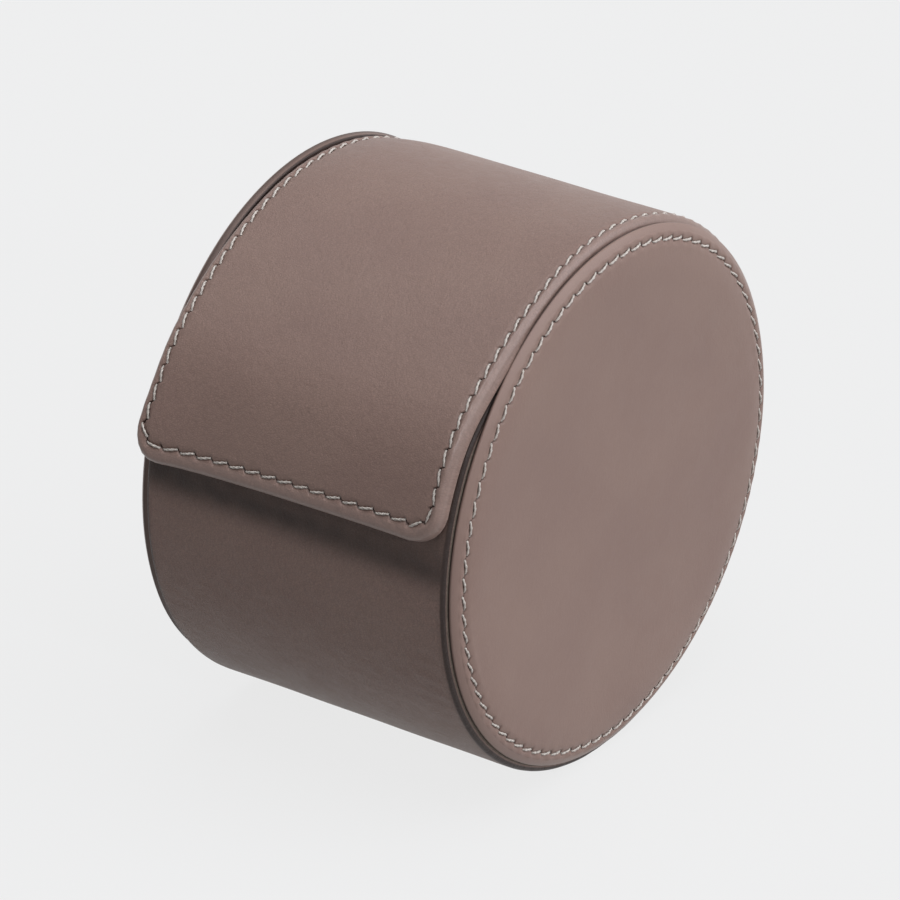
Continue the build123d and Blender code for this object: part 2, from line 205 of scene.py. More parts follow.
class Finishes(bpy.types.PropertyGroup):
    leather: colour("Leather", "Taupe calf leather", "8C7368")
    leather_deep: colour("Leather, deep", "The same where the dye took more", "876E64")
    # Dark raw leather in the awl's cuts, and also the colour of the shade painted into those cuts and holes,
    # the seams, and the front wall under the flap and below its lip
    cut_and_painted_shade: colour("Awl cuts", "Raw leather inside the slanted cuts", "1E1411")
    thread: colour("Thread", "Waxed ecru thread", "CFC4B9")
    suede: colour("Suede", "Napped suede lining", "8F7D70")
    suede_deep: colour("Suede, deep", "The same where the nap lies away", "7D6B5F")
    board: colour("Board", "Pressed fibre board", "73665A")
    foam: colour("Foam", "Open-cell foam", "DCD6CA")
    nickel: colour("Nickel", "Plating of the magnets", "C9C7C2")
    # Painted shade: how dark the front wall is painted under the flap and just below its lip, and the leather
    # in the seams
    under_flap_shade: amount("Rubbed", "How dark the front wall is where the flap rubs it", 0.45)
    lip_shade: amount("Below the lip", "How dark the front wall is just below the lip", 0.5)
    seam_shade: amount("Seams", "How dark the leather is in the seams", 0.92)
    body_grain: amount("Body's grain", "Strength of the body leather's grain", 2.3, 5.0)
    flap_grain: amount("Flap's grain", "Strength of the flap leather's grain", 1.5, 5.0)
    fold_grain: amount("Fold's grain", "Strength of the grain where the leather folds", 1.9, 5.0)
    end_grain: amount("Ends' grain", "Strength of the ends' grain", 0.4, 5.0)
    floor: colour("Floor", "Studio floor and backdrop", "F0F0F0")
    floor_shaded: colour("Floor, shaded", "The part of the floor's look that takes a shadow", "D3D3D3")
    floor_bounce: colour("Floor's bounce", "What the floor throws back onto the object", "A2A2A2")


# Shared mesh code


def sizes(name):
    """The sizes or colours that the panel lists under that name."""
    return getattr(bpy.context.scene, "roll_" + name)


def toward(turn):
    """Unit vectors (y, z) at angles round the drum, which grow from straight up to the front, -Y."""
    return np.stack([-np.sin(turn), np.cos(turn)], -1)


def smooth(value):
    value = np.clip(value, 0, 1)
    return value * value * (3 - 2 * value)


def hump(value, width):
    return np.exp(-(value / width) ** 2)


def ripple(points, wavelength, seed):
    """Soft random waves of about that length, from -1 to 1, the same in each run."""
    chance = np.random.default_rng(seed)
    total = 0
    for _ in range(9):
        direction = chance.normal(size=points.shape[-1])
        direction *= 2 * math.pi * chance.uniform(0.6, 1.5) / wavelength / np.linalg.norm(direction)
        total = total + np.sin(points @ direction + chance.uniform(0, 2 * math.pi))
    return total / 4.5


def arc_through(first, middle, last, count):
    """Points on the arc through three points of a plane."""
    a, b, c = (complex(*p) for p in (first, middle, last))
    w = (c - a) / (b - a)
    centre = (b - a) * (w - abs(w) ** 2) / (2j * w.imag) + a
    turn = np.angle((c - centre) / (a - centre))
    if (w.imag > 0) != (turn > 0):
        turn += math.copysign(2 * math.pi, w.imag)
    around = centre + (a - centre) * np.exp(1j * turn * np.linspace(0, 1, count))
    return np.stack([around.real, around.imag], -1)


class Shell:
    """The points and faces of a mesh, made row by row. places are each point's distances along the
    hide, for its grain. marks say how much shade is painted on: 1 in an awl's cut, less in the seams and
    on the front wall under the flap and below its lip; below 0 they say how far it is burnished, -1 at most."""

    def __init__(self):
        self.points, self.places, self.marks, self.faces, self.count = [], [], [], [], 0

    def row(self, points, places, marks=0.0):
        ids = np.arange(self.count, self.count + len(points))
        self.count += len(points)
        self.points.append(np.asarray(points, float))
        self.places.append(np.broadcast_to(places, (len(points), 2)))
        self.marks.append(np.broadcast_to(marks, len(points)))
        return ids

    def join(self, one, other, closed=False):
        """Faces between two rows. One may have a whole multiple of the other's steps."""
        if closed:
            one, other = np.append(one, one[0]), np.append(other, other[0])
        fine, coarse = (one, other) if len(one) >= len(other) else (other, one)
        ratio = (len(fine) - 1) // (len(coarse) - 1)
        if ratio == 1:
            self.faces += np.stack([one[:-1], one[1:], other[1:], other[:-1]], 1).tolist()
            return
        step = np.arange(len(fine) - 1)
        near = coarse[step // ratio + (step % ratio >= ratio // 2)]
        self.faces += np.stack([fine[:-1], fine[1:], near], 1).tolist()
        middles = fine[ratio // 2:: ratio][: len(coarse) - 1]
        self.faces += np.stack([coarse[:-1], middles, coarse[1:]], 1).tolist()

    def fan(self, row, point, place):
        middle = self.row([point], place)[0]
        self.faces += [[a, b, middle] for a, b in zip(row, np.roll(row, -1))]

    def grid(self, points, places, marks=None):
        """Rows of a grid, given as arrays of rows x columns, with faces between them."""
        rows = [self.row(points[i], places[i], 0.0 if marks is None else marks[i])
                for i in range(len(points))]
        for one, other in zip(rows, rows[1:]):
            self.join(one, other)
        return np.array(rows)

    def slab(self, top, bottom, places):
        """A closed sheet between two grids of the same size."""
        upper, lower = self.grid(top, places), self.grid(bottom, places)
        for one, other in zip(edge_rows(upper), edge_rows(lower)):
            self.join(one, other)

    def object(self, name, material, grain=1.0):
        """The finished piece: its doubles merged, small holes filled and its faces turned outwards."""
        mesh = bpy.data.meshes.new(name)
        mesh.from_pydata(np.concatenate(self.points).tolist(), [], self.faces)
        places, marks = np.concatenate(self.places), np.concatenate(self.marks)
        corners = np.zeros(len(mesh.loops), np.int32)
        mesh.loops.foreach_get("vertex_index", corners)
        mesh.uv_layers.new(name="hide").uv.foreach_set("vector", places[corners].astype(np.float32).ravel())
        for key, values in (("mark", marks), ("grain", np.full(len(marks), grain))):
            mesh.attributes.new(key, "FLOAT", "POINT").data.foreach_set("value", values.astype(np.float32))
        tidy = bmesh.new()
        tidy.from_mesh(mesh)
        bmesh.ops.remove_doubles(tidy, verts=tidy.verts, dist=0.0005 * MM)
        open_edges = [edge for edge in tidy.edges if edge.is_boundary]
        if open_edges:
            bmesh.ops.triangle_fill(tidy, use_beauty=True, edges=open_edges)
        bmesh.ops.recalc_face_normals(tidy, faces=tidy.faces)
        tidy.to_mesh(mesh)
        tidy.free()
        mesh.shade_smooth()
        mesh.set_sharp_from_angle(angle=math.radians(62))
        mesh.materials.append(material)
        made = bpy.data.objects.new(name, mesh)
        bpy.context.scene.collection.objects.link(made)
        return made


def edge_rows(ids):
    return ids[0], ids[-1], ids[:, 0], ids[:, -1]


def repaint(node, slot):
    """A CAD node that stays gets its finish."""
    for own in frame["nodes"][node].material_slots:
        own.material = finish_for(slot)


def dress(piece, body, slot, *nodes):
    """The piece rides on that body and stands for those CAD nodes."""
    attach(piece, body)
    if nodes:
        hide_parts(*nodes)
    return piece


def seam_relief(along, across, pitch, stitch):
    """How the leather lies near a row of stitches: its height, and how deep in a cut each point is,
    as shade painted into the cuts and holes.
    along is measured from the start of the row and across outwards from it. Seen from outside, and
    followed anticlockwise, each stitch leans inwards and the awl's cut leads back out."""
    outside_reach, inside_reach = 0.55 * MM, 0.5 * MM
    along = (along % pitch) - pitch / 2
    half = stitch.length / 2
    lean = math.tan(stitch.lean) * half
    side = np.where(along < 0, -1.0, 1.0)
    ahead, out = along * side, across * side
    thread = hump(out + lean * ahead / half, stitch.bed) * smooth((half - ahead) / stitch.hole + 0.5)
    cut = np.array([pitch / 2 - half, lean])
    off = np.stack([ahead - half, out + lean], -1)
    share = np.clip(off @ cut / (cut @ cut), 0, 1)
    slit = hump(np.linalg.norm(off - share[..., None] * cut, axis=-1), stitch.cut_width / 2)
    hole = hump(np.linalg.norm(off, axis=-1), stitch.hole)
    between = 0.5 - 0.5 * np.cos(2 * math.pi * along / pitch)
    outside = hump(across - stitch.pucker_offset, outside_reach)
    inside = hump(across + stitch.pucker_offset, inside_reach)
    height = (stitch.pucker * between * (outside + 0.5 * inside) - stitch.pull * (thread + 0.7 * hole)
              - 0.5 * stitch.pull * hump(across, stitch.pull_reach))
    return height - stitch.cut_depth * slit, np.clip(1.25 * slit + 0.3 * hole, 0, 1)


# Ends


def end_profile(end, side, steps):
    """(height, radius) from the middle of the face to the rim's foot, in parts."""
    swell = end.left_swell if side < 0 else 0.0
    shoulder_radius = end.radius - end.shoulder_margin
    valley_radius = end.radius - end.valley_margin
    rise = end.crown - end.shoulder
    sphere = (shoulder_radius ** 2 + rise ** 2) / (2 * rise)
    face_radii = np.linspace(0, shoulder_radius, steps)
    face = np.stack([end.crown - sphere + np.sqrt(sphere ** 2 - face_radii ** 2), face_radii], -1)
    middle_radius = (shoulder_radius + valley_radius) / 2
    middle = (end.shoulder - 0.24 * (end.shoulder - end.valley), middle_radius)
    fall = arc_through((end.shoulder, shoulder_radius), middle, (end.valley, valley_radius), steps)
    top = (end.bead + swell, end.radius - end.bead_margin + swell * 0.8)
    outside = (end.rim + swell * 0.7, end.radius + swell * 0.5)
    return face, fall, arc_through((end.valley, valley_radius), top, outside, steps)


def end_height(end, side, radii):
    """Height of an end's smooth face at those radii."""
    parts = np.concatenate(end_profile(end, side, 200))
    order = np.argsort(parts[:, 1], kind="stable")
    return np.interp(radii, parts[order, 1], parts[order, 0])


def pad_profile(end):
    """(height, radius) of the foam pad's top, from its edge to its middle."""
    return [(end.board_top, end.pad_radius), (1.4 * MM, 30 * MM), (1.6 * MM, 15 * MM), (end.pad_crown, 0)]


def build_end(name, side, material):
    """An end's leather: its crowned face, the valley of its stitches, its rim and its turned edge."""
    drum, end, stitch = sizes("drum"), sizes("ends"), sizes("stitches")
    row_radius = end.radius - end.valley_margin
    pitch = 2 * math.pi * row_radius / end.stitches
    # Where the left rim is slack and how far round, in radians, and from what height on
    underside, slack_width, slack_height = 2.4, 0.6, 0.6 * MM
    in_shadow, burnished, shadow_height = 0.7, -0.35, 0.15 * MM
    shell = Shell()

    def ring(height, radius, count, band=None, mark=0.0):
        turn = 2 * math.pi * np.arange(count) / count
        reach = radius + max(0.0, end.bead - height) * (radius > end.radius - end.bead_margin)
        height = np.full(count, float(height))
        cuts = np.full(count, mark)
        soft = toward(side * turn) * radius
        if band is not None:
            relief, cuts = seam_relief(turn * row_radius, np.full(count, band), pitch, stitch)
            height = height + relief
        else:
            height = height + end.unevenness * ripple(soft, 26 * MM, 3) * smooth(radius / (20 * MM))
        if side < 0:
            slack = hump(2 * math.pi - turn - underside, slack_width)
            slack = slack * smooth((radius - row_radius) / (2 * MM))
            height = height + end.left_slack * slack * smooth(height / slack_height)
        x = side * (drum.half_length + height)
        points = np.column_stack([x, soft[:, 0], soft[:, 1] + drum.axis_height])
        return shell.row(points, toward(side * turn) * reach, cuts)

    fine, middle, coarse = end.stitches * 20, end.stitches * 4, end.stitches
    face_radii, band_radii = np.linspace(5, 19, 5) * MM, row_radius + np.linspace(-1.3, 1.2, 21) * MM
    outer_radii = np.linspace(22 * MM, band_radii[0] - 0.2 * MM, 14)
    rows = [ring(end_height(end, side, r), r, coarse) for r in face_radii]
    shell.fan(rows[0], (side * (drum.half_length + end.crown), 0, drum.axis_height), (0, 0))
    rows += [ring(end_height(end, side, r), r, middle) for r in outer_radii]
    rows += [ring(end_height(end, side, r), r, fine, r - row_radius) for r in band_radii]
    bead = end_profile(end, side, 41)[2]
    past = np.flatnonzero(bead[:, 1] > band_radii[-1])[0] + 1
    shaded = bead[-1, 0] + shadow_height if side < 0 else 0.0
    rows += [ring(height, radius, middle, mark=in_shadow if height < shaded else burnished)
             for height, radius in bead[past:]]
    # Height, radius and mark, down the rim into the seam, where shade is painted on, and in over the turned
    # edge
    foot = [(end.rim * 0.6, end.radius, 0.3), (0.3 * MM, end.radius, 0.6),
            (0.09 * MM, end.radius - 0.09 * MM, 0.9), (0, end.radius - 0.3 * MM, 0.9),
            (0, end.radius - end.turn_in + 0.15 * MM, 0), (0.05 * MM, end.radius - end.turn_in, 0),
            (end.lining, end.radius - end.turn_in, 0)]
    rows += [ring(height, radius, middle, mark=mark) for height, radius, mark in foot]
    board_edge = end.radius - end.leather
    under = [(end.lining, board_edge), (end.board_top, board_edge), *pad_profile(end)[:-1]]
    rows += [ring(height, radius, coarse) for height, radius in under]
    for one, other in zip(rows, rows[1:]):
        shell.join(one, other, closed=True)
    shell.fan(rows[-1], (side * (drum.half_length + end.pad_crown), 0, drum.axis_height), (0, 0))
    return shell.object(name, material, sizes("finishes").end_grain)


def build_disc(name, side, material, rings):
    """A closed disc inside an end, from (radius, height above the seam) of its rings. The first and
    the last are its middles. The side near the seam is uneven, as suede is."""
    drum, count = sizes("drum"), 120
    turn = 2 * math.pi * np.arange(count) / count
    nap_depth = sizes("ends").lining / 2
    shell = Shell()

    def ring(radius, height):
        flat = toward(turn) * radius
        uneven = 0.02 * MM * ripple(flat, 12 * MM, 41) * (height < nap_depth)
        points = np.column_stack([side * (drum.half_length + height + uneven), flat[:, 0],
                                  flat[:, 1] + drum.axis_height])
        return shell.row(points, flat)

    (_, first), *between, (_, last) = rings
    rows = [ring(*place) for place in between]
    for one, other in zip(rows, rows[1:]):
        shell.join(one, other, closed=True)
    for row, height in ((rows[0], first), (rows[-1], last)):
        shell.fan(row, (side * (drum.half_length + height), 0, drum.axis_height), (0, 0))
    return shell.object(name, material)


def build_end_pad(name, side, material):
    """The foam lens between an end's board and its leather, with a hair of air round it."""
    end, air = sizes("ends"), 0.02 * MM
    radius, base = end.pad_radius - 0.1 * MM, end.board_top + air / 2
    heights, radii = np.transpose(pad_profile(end)[::-1])
    top = [(r, np.interp(r, radii, heights) - air) for r in np.linspace(2 * MM, radius - 0.3 * MM, 24)]
    foot = [(radius, base + air), (radius - 0.1 * MM, base), (2 * MM, base), (0, base)]
    return build_disc(name, side, material, [(0, end.pad_crown - 1.5 * air), *top, *foot])


def build_end_lining(name, side, material):
    """The suede disc inside an end, rounded at its edge."""
    end, nap = sizes("ends"), 0.03 * MM
    radius = end.radius - end.turn_in - 0.05 * MM
    face = [(r, nap) for r in (0, *np.linspace(2 * MM, radius - 0.5 * MM, 22))]
    edge = [(radius - 0.2 * MM, 2 * nap), (radius, 0.16 * MM), (radius, end.lining)]
    return build_disc(name, side, material, [*face, *edge, (2 * MM, end.lining), (0, end.lining)])


def end_row(side):
    """The line that the middles of an end's stitches lie on, and the way out of the leather."""
    drum, end, stitch = sizes("drum"), sizes("ends"), sizes("stitches")
    count = end.stitches * 12
    turn = 2 * math.pi * (np.arange(count) / count + 0.5 / end.stitches)
    across = toward(side * turn) * (end.radius - end.valley_margin)
    height = end.valley + stitch.rise - stitch.pull / 2
    line = np.column_stack([np.full(count, side * (drum.half_length + height)), across[:, 0],
                            across[:, 1] + drum.axis_height])
    return line, np.broadcast_to([side, 0.0, 0.0], line.shape)


# Flap


def flap_arcs():
    """The flap's outside as arcs that run into each other: centre, radius, first and last angle."""
    flap = sizes("flap")
    bend_offset = flap.lip_radius - flap.blend_radius
    hug_offset = flap.radius - flap.blend_radius
    turn = math.cos(flap.lip_start - flap.hug_end)
    flat_offset = (bend_offset ** 2 - hug_offset ** 2) / (2 * (hug_offset - bend_offset * turn))
    flat_centre = toward(flap.hug_end) * -flat_offset
    bend_centre = toward(flap.lip_start) * bend_offset
    joining = bend_centre - flat_centre
    join = math.atan2(-joining[0], joining[1])
    hinge = hinge_angle()
    return [(np.zeros(2), flap.radius, hinge, flap.hug_end),
            (flat_centre, flap.radius + flat_offset, flap.hug_end, join),
            (bend_centre, flap.blend_radius, join, flap.lip_start),
            (np.zeros(2), flap.lip_radius, flap.lip_start, flap.lip_end)]


def hinge_angle():
    """Angle round the drum at which the fold's axis lies."""
    axis = Vector(HINGE["pos_m"])
    return math.atan2(-axis.y, axis.z - sizes("drum").axis_height)


def flap_length():
    return sum(radius * (last - first) for _, radius, first, last in flap_arcs())


def on_flap(x, run, height):
    """Points at x, at a distance run from the hinge along the flap's outside, and height above it.
    The bare numbers are shares of the flap's length, where something starts, ends or is most."""
    flap, total = sizes("flap"), flap_length()
    x, run, height = np.broadcast_arrays(x, run, height)
    inward, left_over = x + flap.half_width, total - run
    corner = hump(np.hypot(inward, left_over - 4 * MM), flap.stand_off_reach)
    top = smooth(run / total / 0.15) * smooth((0.72 - run / total) / 0.3)
    flare = corner * np.clip(1 + height / flap.thickness, 0, 1)
    height = height + flap.stand_off * flare - flap.sag * top * hump(inward, flap.sag_reach)
    share = x / flap.half_width
    run = run + flap.droop * hump(np.hypot(inward - MM / 2, left_over - MM / 2), flap.droop_reach)
    run = run - (flap.slant * share + flap.bow * (1 - share ** 2)) * smooth((run / total - 0.45) / 0.5)
    points = np.zeros((*run.shape, 3))
    start = 0.0
    arcs = flap_arcs()
    for number, (centre, radius, first, last) in enumerate(arcs):
        end = start + radius * (last - first)
        here = (run >= start) if number else np.ones(run.shape, bool)
        normal = toward(first + (run[here] - start) / radius)
        points[here, 1:] = centre + normal * (radius + height[here])[:, None]
        start = end
    wide = flap.bulge * smooth(share) * hump(run / total - 0.76, 0.16)
    points[..., 0] = x - flap.stand_off / 2 * corner + wide
    points[..., 2] += sizes("drum").axis_height
    return points


def u_curve(stations, half_width, inset, corner):
    """Down the flap's left side, round the corner and along the lip to its middle, as (x, run).
    Stations 0 to 1 and 4 to 5 are alike for all such curves, and 2 to 3 is the corner."""
    flap, total = sizes("flap"), flap_length()
    calm_run, calm_x = total - 20 * MM, 15 * MM
    turn = np.clip(stations - 2, 0, 1) * math.pi / 2
    run = np.interp(stations, [0, 1, 2], [flap.fold, calm_run, total - inset - corner])
    x = np.interp(stations, [3, 4, 5], [-(half_width - corner), -calm_x, 0])
    return np.stack([np.where(stations < 3, -(half_width - corner) - corner * np.cos(turn), x),
                     run + corner * np.sin(turn)], -1)


def row_curve(stations):
    flap = sizes("flap")
    return u_curve(stations, flap.half_width - flap.side_margin, flap.lip_margin, flap.stitch_corner)


def whole(curve):
    """A half curve with its mirror image, from the left start to the right start."""
    return np.concatenate([curve, (curve * [-1, 1])[-2::-1]])


def lengths_along(curve):
    return np.append(0, np.cumsum(np.linalg.norm(np.diff(curve, axis=0), axis=1)))


def even_stations(first, last):
    """Stations evenly spaced along the row of stitches, in a multiple of five steps."""
    fine, spacing = np.linspace(first, last, 2000), 0.155 * MM
    at = lengths_along(row_curve(fine))
    return np.interp(np.linspace(0, at[-1], 5 * round(at[-1] / spacing / 5) + 1), at, fine)


def flap_row():
    """Distances along the flap's row of stitches, its points and the stitches' pitch."""
    flap = sizes("flap")
    stations = np.concatenate([even_stations(0, 2.5)[:-1], even_stations(2.5, 5)])
    row = whole(row_curve(stations))
    along = lengths_along(on_row(row)) + flap.fold - flap.row_start
    pitch = (along[-1] + flap.fold - flap.row_start) / flap.stitches
    return stations, row, along, pitch


def on_row(row):
    """The line that the middles of the flap's stitches lie on."""
    return on_flap(row[:, 0], row[:, 1], sizes("stitches").rise - sizes("stitches").pull / 2)


def patch(left, lip, right, far):
    """A grid that fills the space between four sides, as rows from the hinge to the lip."""
    rows, columns = len(left), len(lip)
    v, u = np.linspace(0, 1, rows)[:, None, None], np.linspace(0, 1, columns)[None, :, None]
    sides = (1 - u) * left[:, None] + u * right[:, None]
    ends = (1 - v) * far[None] + v * lip[None]
    corners = ((1 - u) * (1 - v) * left[0] + u * (1 - v) * right[0]
               + (1 - u) * v * left[-1] + u * v * right[-1])
    return sides + ends - corners


def build_flap(material):
    """The flap's leather, rolled at its sides and lip and turned in round the board."""
    flap, stitch = sizes("flap"), sizes("stitches")
    stations, row, along, pitch = flap_row()
    outline = whole(u_curve(stations, flap.half_width, 0, flap.corner))
    inset, swell_height, foot = 1.4 * MM, 0.1 * MM, 0.45 * MM
    fade_inside, fade_outside = 0.4 * MM, 0.35 * MM
    calm_start, calm_reach, shine_start, shine_reach = 8 * MM, 5 * MM, 0.45 * MM, 0.4 * MM
    # How far the turned edge bulges, as a share of the skirt, and how deep below the outside
    bulges = ((0.6, 1.75 * MM), (1.0, 2.1 * MM), (0.9, 2.4 * MM))
    inner = whole(u_curve(stations, flap.half_width - flap.side_margin - inset, flap.lip_margin + inset,
                          flap.stitch_corner - inset))
    within = whole(u_curve(stations, flap.half_width - flap.leather, flap.leather,
                           flap.corner - flap.leather))
    margin = np.linalg.norm(outline - row, axis=1)
    shell = Shell()

    def band(share, step=1):
        """The leather between the panel, share -1, the row of stitches, 0, and the edge, 1."""
        other = outline if share >= 0 else inner
        flat = (row + (other - row) * abs(share))[::step]
        across = np.where(share >= 0, share * margin, share * np.linalg.norm(inner - row, axis=1))[::step]
        inward = np.maximum(flap.edge_roll - (margin[::step] - across), 0)
        rolled = flap.edge_roll - np.sqrt(np.maximum(flap.edge_roll ** 2 - inward ** 2, 0))
        swell = swell_height * np.sin(math.pi * np.clip(across / margin[::step], 0, 1))
        relief, cuts = seam_relief(along[::step], across, pitch, stitch)
        fade = smooth((across + inset) / fade_inside) * smooth((margin[::step] - across) / fade_outside)
        height = relief * fade + swell - rolled + panel_wave(flat)
        calm = smooth((flap_length() - flat[:, 1] - calm_start) / calm_reach)
        # The shade painted into the cuts is lighter on the flap's left side, away from the lip
        pulled = 1 - 0.6 * (flat[:, 0] < 0) * calm
        shine = smooth((across - shine_start) / shine_reach)
        return shell.row(on_flap(flat[:, 0], flat[:, 1], height), flat, cuts * fade * pulled - shine)

    def wall(curve, depth):
        flat = curve[::5]
        return shell.row(on_flap(flat[:, 0], flat[:, 1], -depth), flat)

    fine = [band(share) for share in np.linspace(-1, 0, 10)[1:-1]]
    fine += [band(share) for share in np.linspace(0, 0.62, 9)]
    edge = [band(share, 5) for share in 1 - np.array([0.36, 0.3, 0.22, 0.15, 0.09, 0.045, 0.015, 0.0])]
    slope = np.linspace(0, math.pi / 2, 5)
    share = foot * (1 - np.cos(slope)) / flap.leather
    full = outline + (outline - row) / margin[:, None] * flap.skirt
    lower = [wall(outline + (full - outline) * part, depth) for part, depth in bulges]
    lower += [wall(outline + (within - outline) * part, flap.thickness - foot + foot * math.sin(at))
              for part, at in zip(share, slope)]
    lower += [wall(within, flap.thickness), wall(within, flap.leather)]
    first = band(-1, 5)
    for one, other in zip([first, *fine, *edge, *lower], [*fine, *edge, *lower]):
        shell.join(one, other)
    turn = (len(even_stations(0, 2.5)) - 1) // 5
    fill(shell, first, inner[::5], turn, panel_wave)
    fill(shell, lower[-1], within[::5], turn, lambda flat: np.full(flat.shape[:-1], -flap.leather))
    return shell.object("flap_cover", material, sizes("finishes").flap_grain)


def panel_wave(flat):
    """The flap leather isn't quite even: it is pulled a little over its board and padding."""
    return sizes("flap").unevenness * ripple(flat, 24 * MM, 11)


def fill(shell, boundary, flat, turn, height):
    """The middle of the flap, between its left side, lip and right side, which the boundary follows."""
    left, lip, right = flat[:turn + 1], flat[turn:-turn], flat[:-turn - 2:-1]
    far = left[0] + (right[0] - left[0]) * np.linspace(0, 1, len(lip))[:, None]
    inside = patch(left, lip, right, far)
    ids = np.zeros(inside.shape[:2], int)
    ids[:, 0], ids[-1], ids[:, -1] = boundary[:turn + 1], boundary[turn:-turn], boundary[:-turn - 2:-1]
    for number in range(len(left) - 1):
        middle = inside[number, 1:-1]
        ids[number, 1:-1] = shell.row(on_flap(middle[:, 0], middle[:, 1], height(middle)), middle)
    for one, other in zip(ids, ids[1:]):
        shell.join(one, other)


# Body


def around(x, turn, radius):
    """Points at x, at an angle round the drum and a radius from its axis."""
    x, turn, radius = np.broadcast_arrays(x, turn, radius)
    across = toward(turn) * radius[..., None]
    points = np.stack([x, across[..., 0], across[..., 1] + sizes("drum").axis_height], -1)
    points[..., 2] = np.maximum(points[..., 2], 0.0)
    return points


def end_stations(half, roll, spacing):
    """Places along the drum from one end to the other, close together where the ends roll down."""
    rolled = half - roll + roll * np.sin(np.linspace(0, math.pi / 2, 5))
    level = np.linspace(0, half - roll, max(2, round((half - roll) / spacing)))
    right = np.concatenate([level, rolled[1:]])
    return np.concatenate([-right[:0:-1], right])


def rolled_down(x, half, roll):
    """How far leather lies below its outside at x, where it rolls down at its sides."""
    over = np.maximum(np.abs(x) - (half - roll), 0)
    return roll - np.sqrt(np.maximum(roll ** 2 - over ** 2, 0))


def body_fold_turn():
    """Angle at which the body leather stops and the fold's leather starts."""
    return 2 * math.pi + hinge_angle() - sizes("flap").fold / sizes("drum").radius


def wall_top(turns, cover):
    """Outside of the drum's wall at those angles, under that much leather. The front wall is thinned
    so that the flap lies over it."""
    drum, flap = sizes("drum"), sizes("flap")
    runs = np.linspace(0.5, 1, 400) * flap_length()
    under = on_flap(0, runs, -(flap.thickness + drum.front_edge_gap + cover))
    height = under[:, 2] - drum.axis_height
    radii = np.interp(turns, np.arctan2(-under[:, 1], height), np.hypot(under[:, 1], height))
    return np.minimum(radii, drum.radius - cover)


def build_body(material):
    """The leather round the drum, from its turned front edge to the fold. Bare numbers beside angles
    are radians."""
    drum, flap_turn, finish = sizes("drum"), sizes("flap").lip_end, sizes("finishes")
    slow_wave, seam_reach, plain = 0.06 * MM, 0.85 * MM, math.radians(150)
    x = end_stations(drum.half_length, drum.seam_roll, 0.7 * MM)
    last = body_fold_turn()
    lap = drum.front_edge + drum.front_edge_leather / drum.radius
    slope = np.linspace(0, math.pi / 2, 5)
    edge = drum.front_edge + drum.front_edge_roll / drum.radius * (1 - np.sin(slope))
    rounded = drum.front_edge_roll * (1 - np.cos(slope))
    turned = np.linspace(lap, edge[0], 8)[:-1]
    front = np.linspace(edge[0], plain, 190)[1:]
    rest = np.concatenate([front, np.linspace(plain, last, 130)[1:]])
    turns = np.concatenate([turned, edge, edge[::-1], rest])
    tops = wall_top(turns, 0)
    radii = np.concatenate([np.full(len(turned), drum.bore_radius), drum.bore_radius + rounded,
                            (wall_top(edge[:1], 0) - rounded)[::-1], tops[-len(rest):]])
    outer_turn, outer_x = np.meshgrid(turns, x)
    outer_radius = np.broadcast_to(radii, outer_turn.shape)
    flat = np.stack([outer_x, outer_turn * drum.radius], -1)
    on_wall = smooth((outer_turn - edge[0]) / 0.12) * smooth((last - outer_turn) / 0.1)
    relief = (slow_wave * ripple(flat, 22 * MM, 5) + drum.wrinkle * creases(flat)) * on_wall
    relief = relief * smooth((drum.half_length - np.abs(outer_x)) / (1.5 * MM))
    thick = tops - drum.bore_radius
    share = np.clip((radii - drum.bore_radius) / thick * 2 - 1, -0.5, 1)
    share = share * np.minimum(1, 0.3 + thick / drum.bore_radius * 9)
    down = rolled_down(outer_x, drum.half_length, drum.seam_roll) * share
    # Painted shade: the front wall darker under the flap and in a band just below its lip, and the seams
    # darker still
    past_lip = outer_turn - flap_turn
    under_flap_shade = smooth((outer_turn - edge[0]) / 0.05) * (1 - smooth((past_lip - 0.02) / 0.16))
    below_lip = hump(past_lip - 0.085 - 0.02 * outer_x / drum.half_length, 0.06)
    in_seam = smooth((np.abs(outer_x) - drum.half_length + seam_reach) / (0.5 * MM))
    marks = (finish.under_flap_shade * under_flap_shade + finish.lip_shade * below_lip) * (1 + 0.06 * ripple(flat, 5 * MM, 71))
    marks = np.maximum(marks, finish.seam_shade * in_seam)
    shell = Shell()
    outer = shell.grid(around(outer_x, outer_turn, outer_radius + relief - down), flat, marks)
    lead = len(turns) - len(rest)
    inner_turns = np.concatenate([np.full(lead, lap), np.maximum(rest, lap)])
    inner_radii = np.concatenate([np.linspace(drum.bore_radius, wall_top([lap], drum.leather)[0], lead),
                                  wall_top(np.maximum(rest, lap), drum.leather)])
    ends = np.array([-drum.half_length, drum.half_length])
    inner_turn, inner_x = np.meshgrid(inner_turns, ends)
    inner = shell.grid(around(inner_x, inner_turn, np.broadcast_to(inner_radii, inner_turn.shape)),
                       np.stack([inner_x, inner_turn * drum.radius], -1))
    shell.join(outer[0], inner[0])
    shell.join(outer[-1], inner[-1])
    return shell.object("body_cover", material, finish.body_grain)


def creases(flat):
    """Fine creases that run along the drum in the front leather, mostly near the right seam."""
    drum = sizes("drum")
    right_reach, left_reach, spacing, slanted_spacing = 7 * MM, 6 * MM, 2.2 * MM, 3.4 * MM
    x, run = flat[..., 0], flat[..., 1]
    at_right = np.exp(-(drum.half_length - x) / right_reach)
    at_left = 0.35 * np.exp(-(drum.half_length + x) / left_reach)
    waves = ripple(np.stack([x * 0.25, run], -1), spacing, 23)
    slanted = ripple(np.stack([x + 0.8 * run, 0.35 * run], -1), slanted_spacing, 31)
    front = smooth((run / drum.radius - 1.2) / 0.2) * smooth((2.3 - run / drum.radius) / 0.5)
    return (waves * (at_right + at_left + 0.3) + 0.45 * slanted) * front


# Fold between the body and the flap


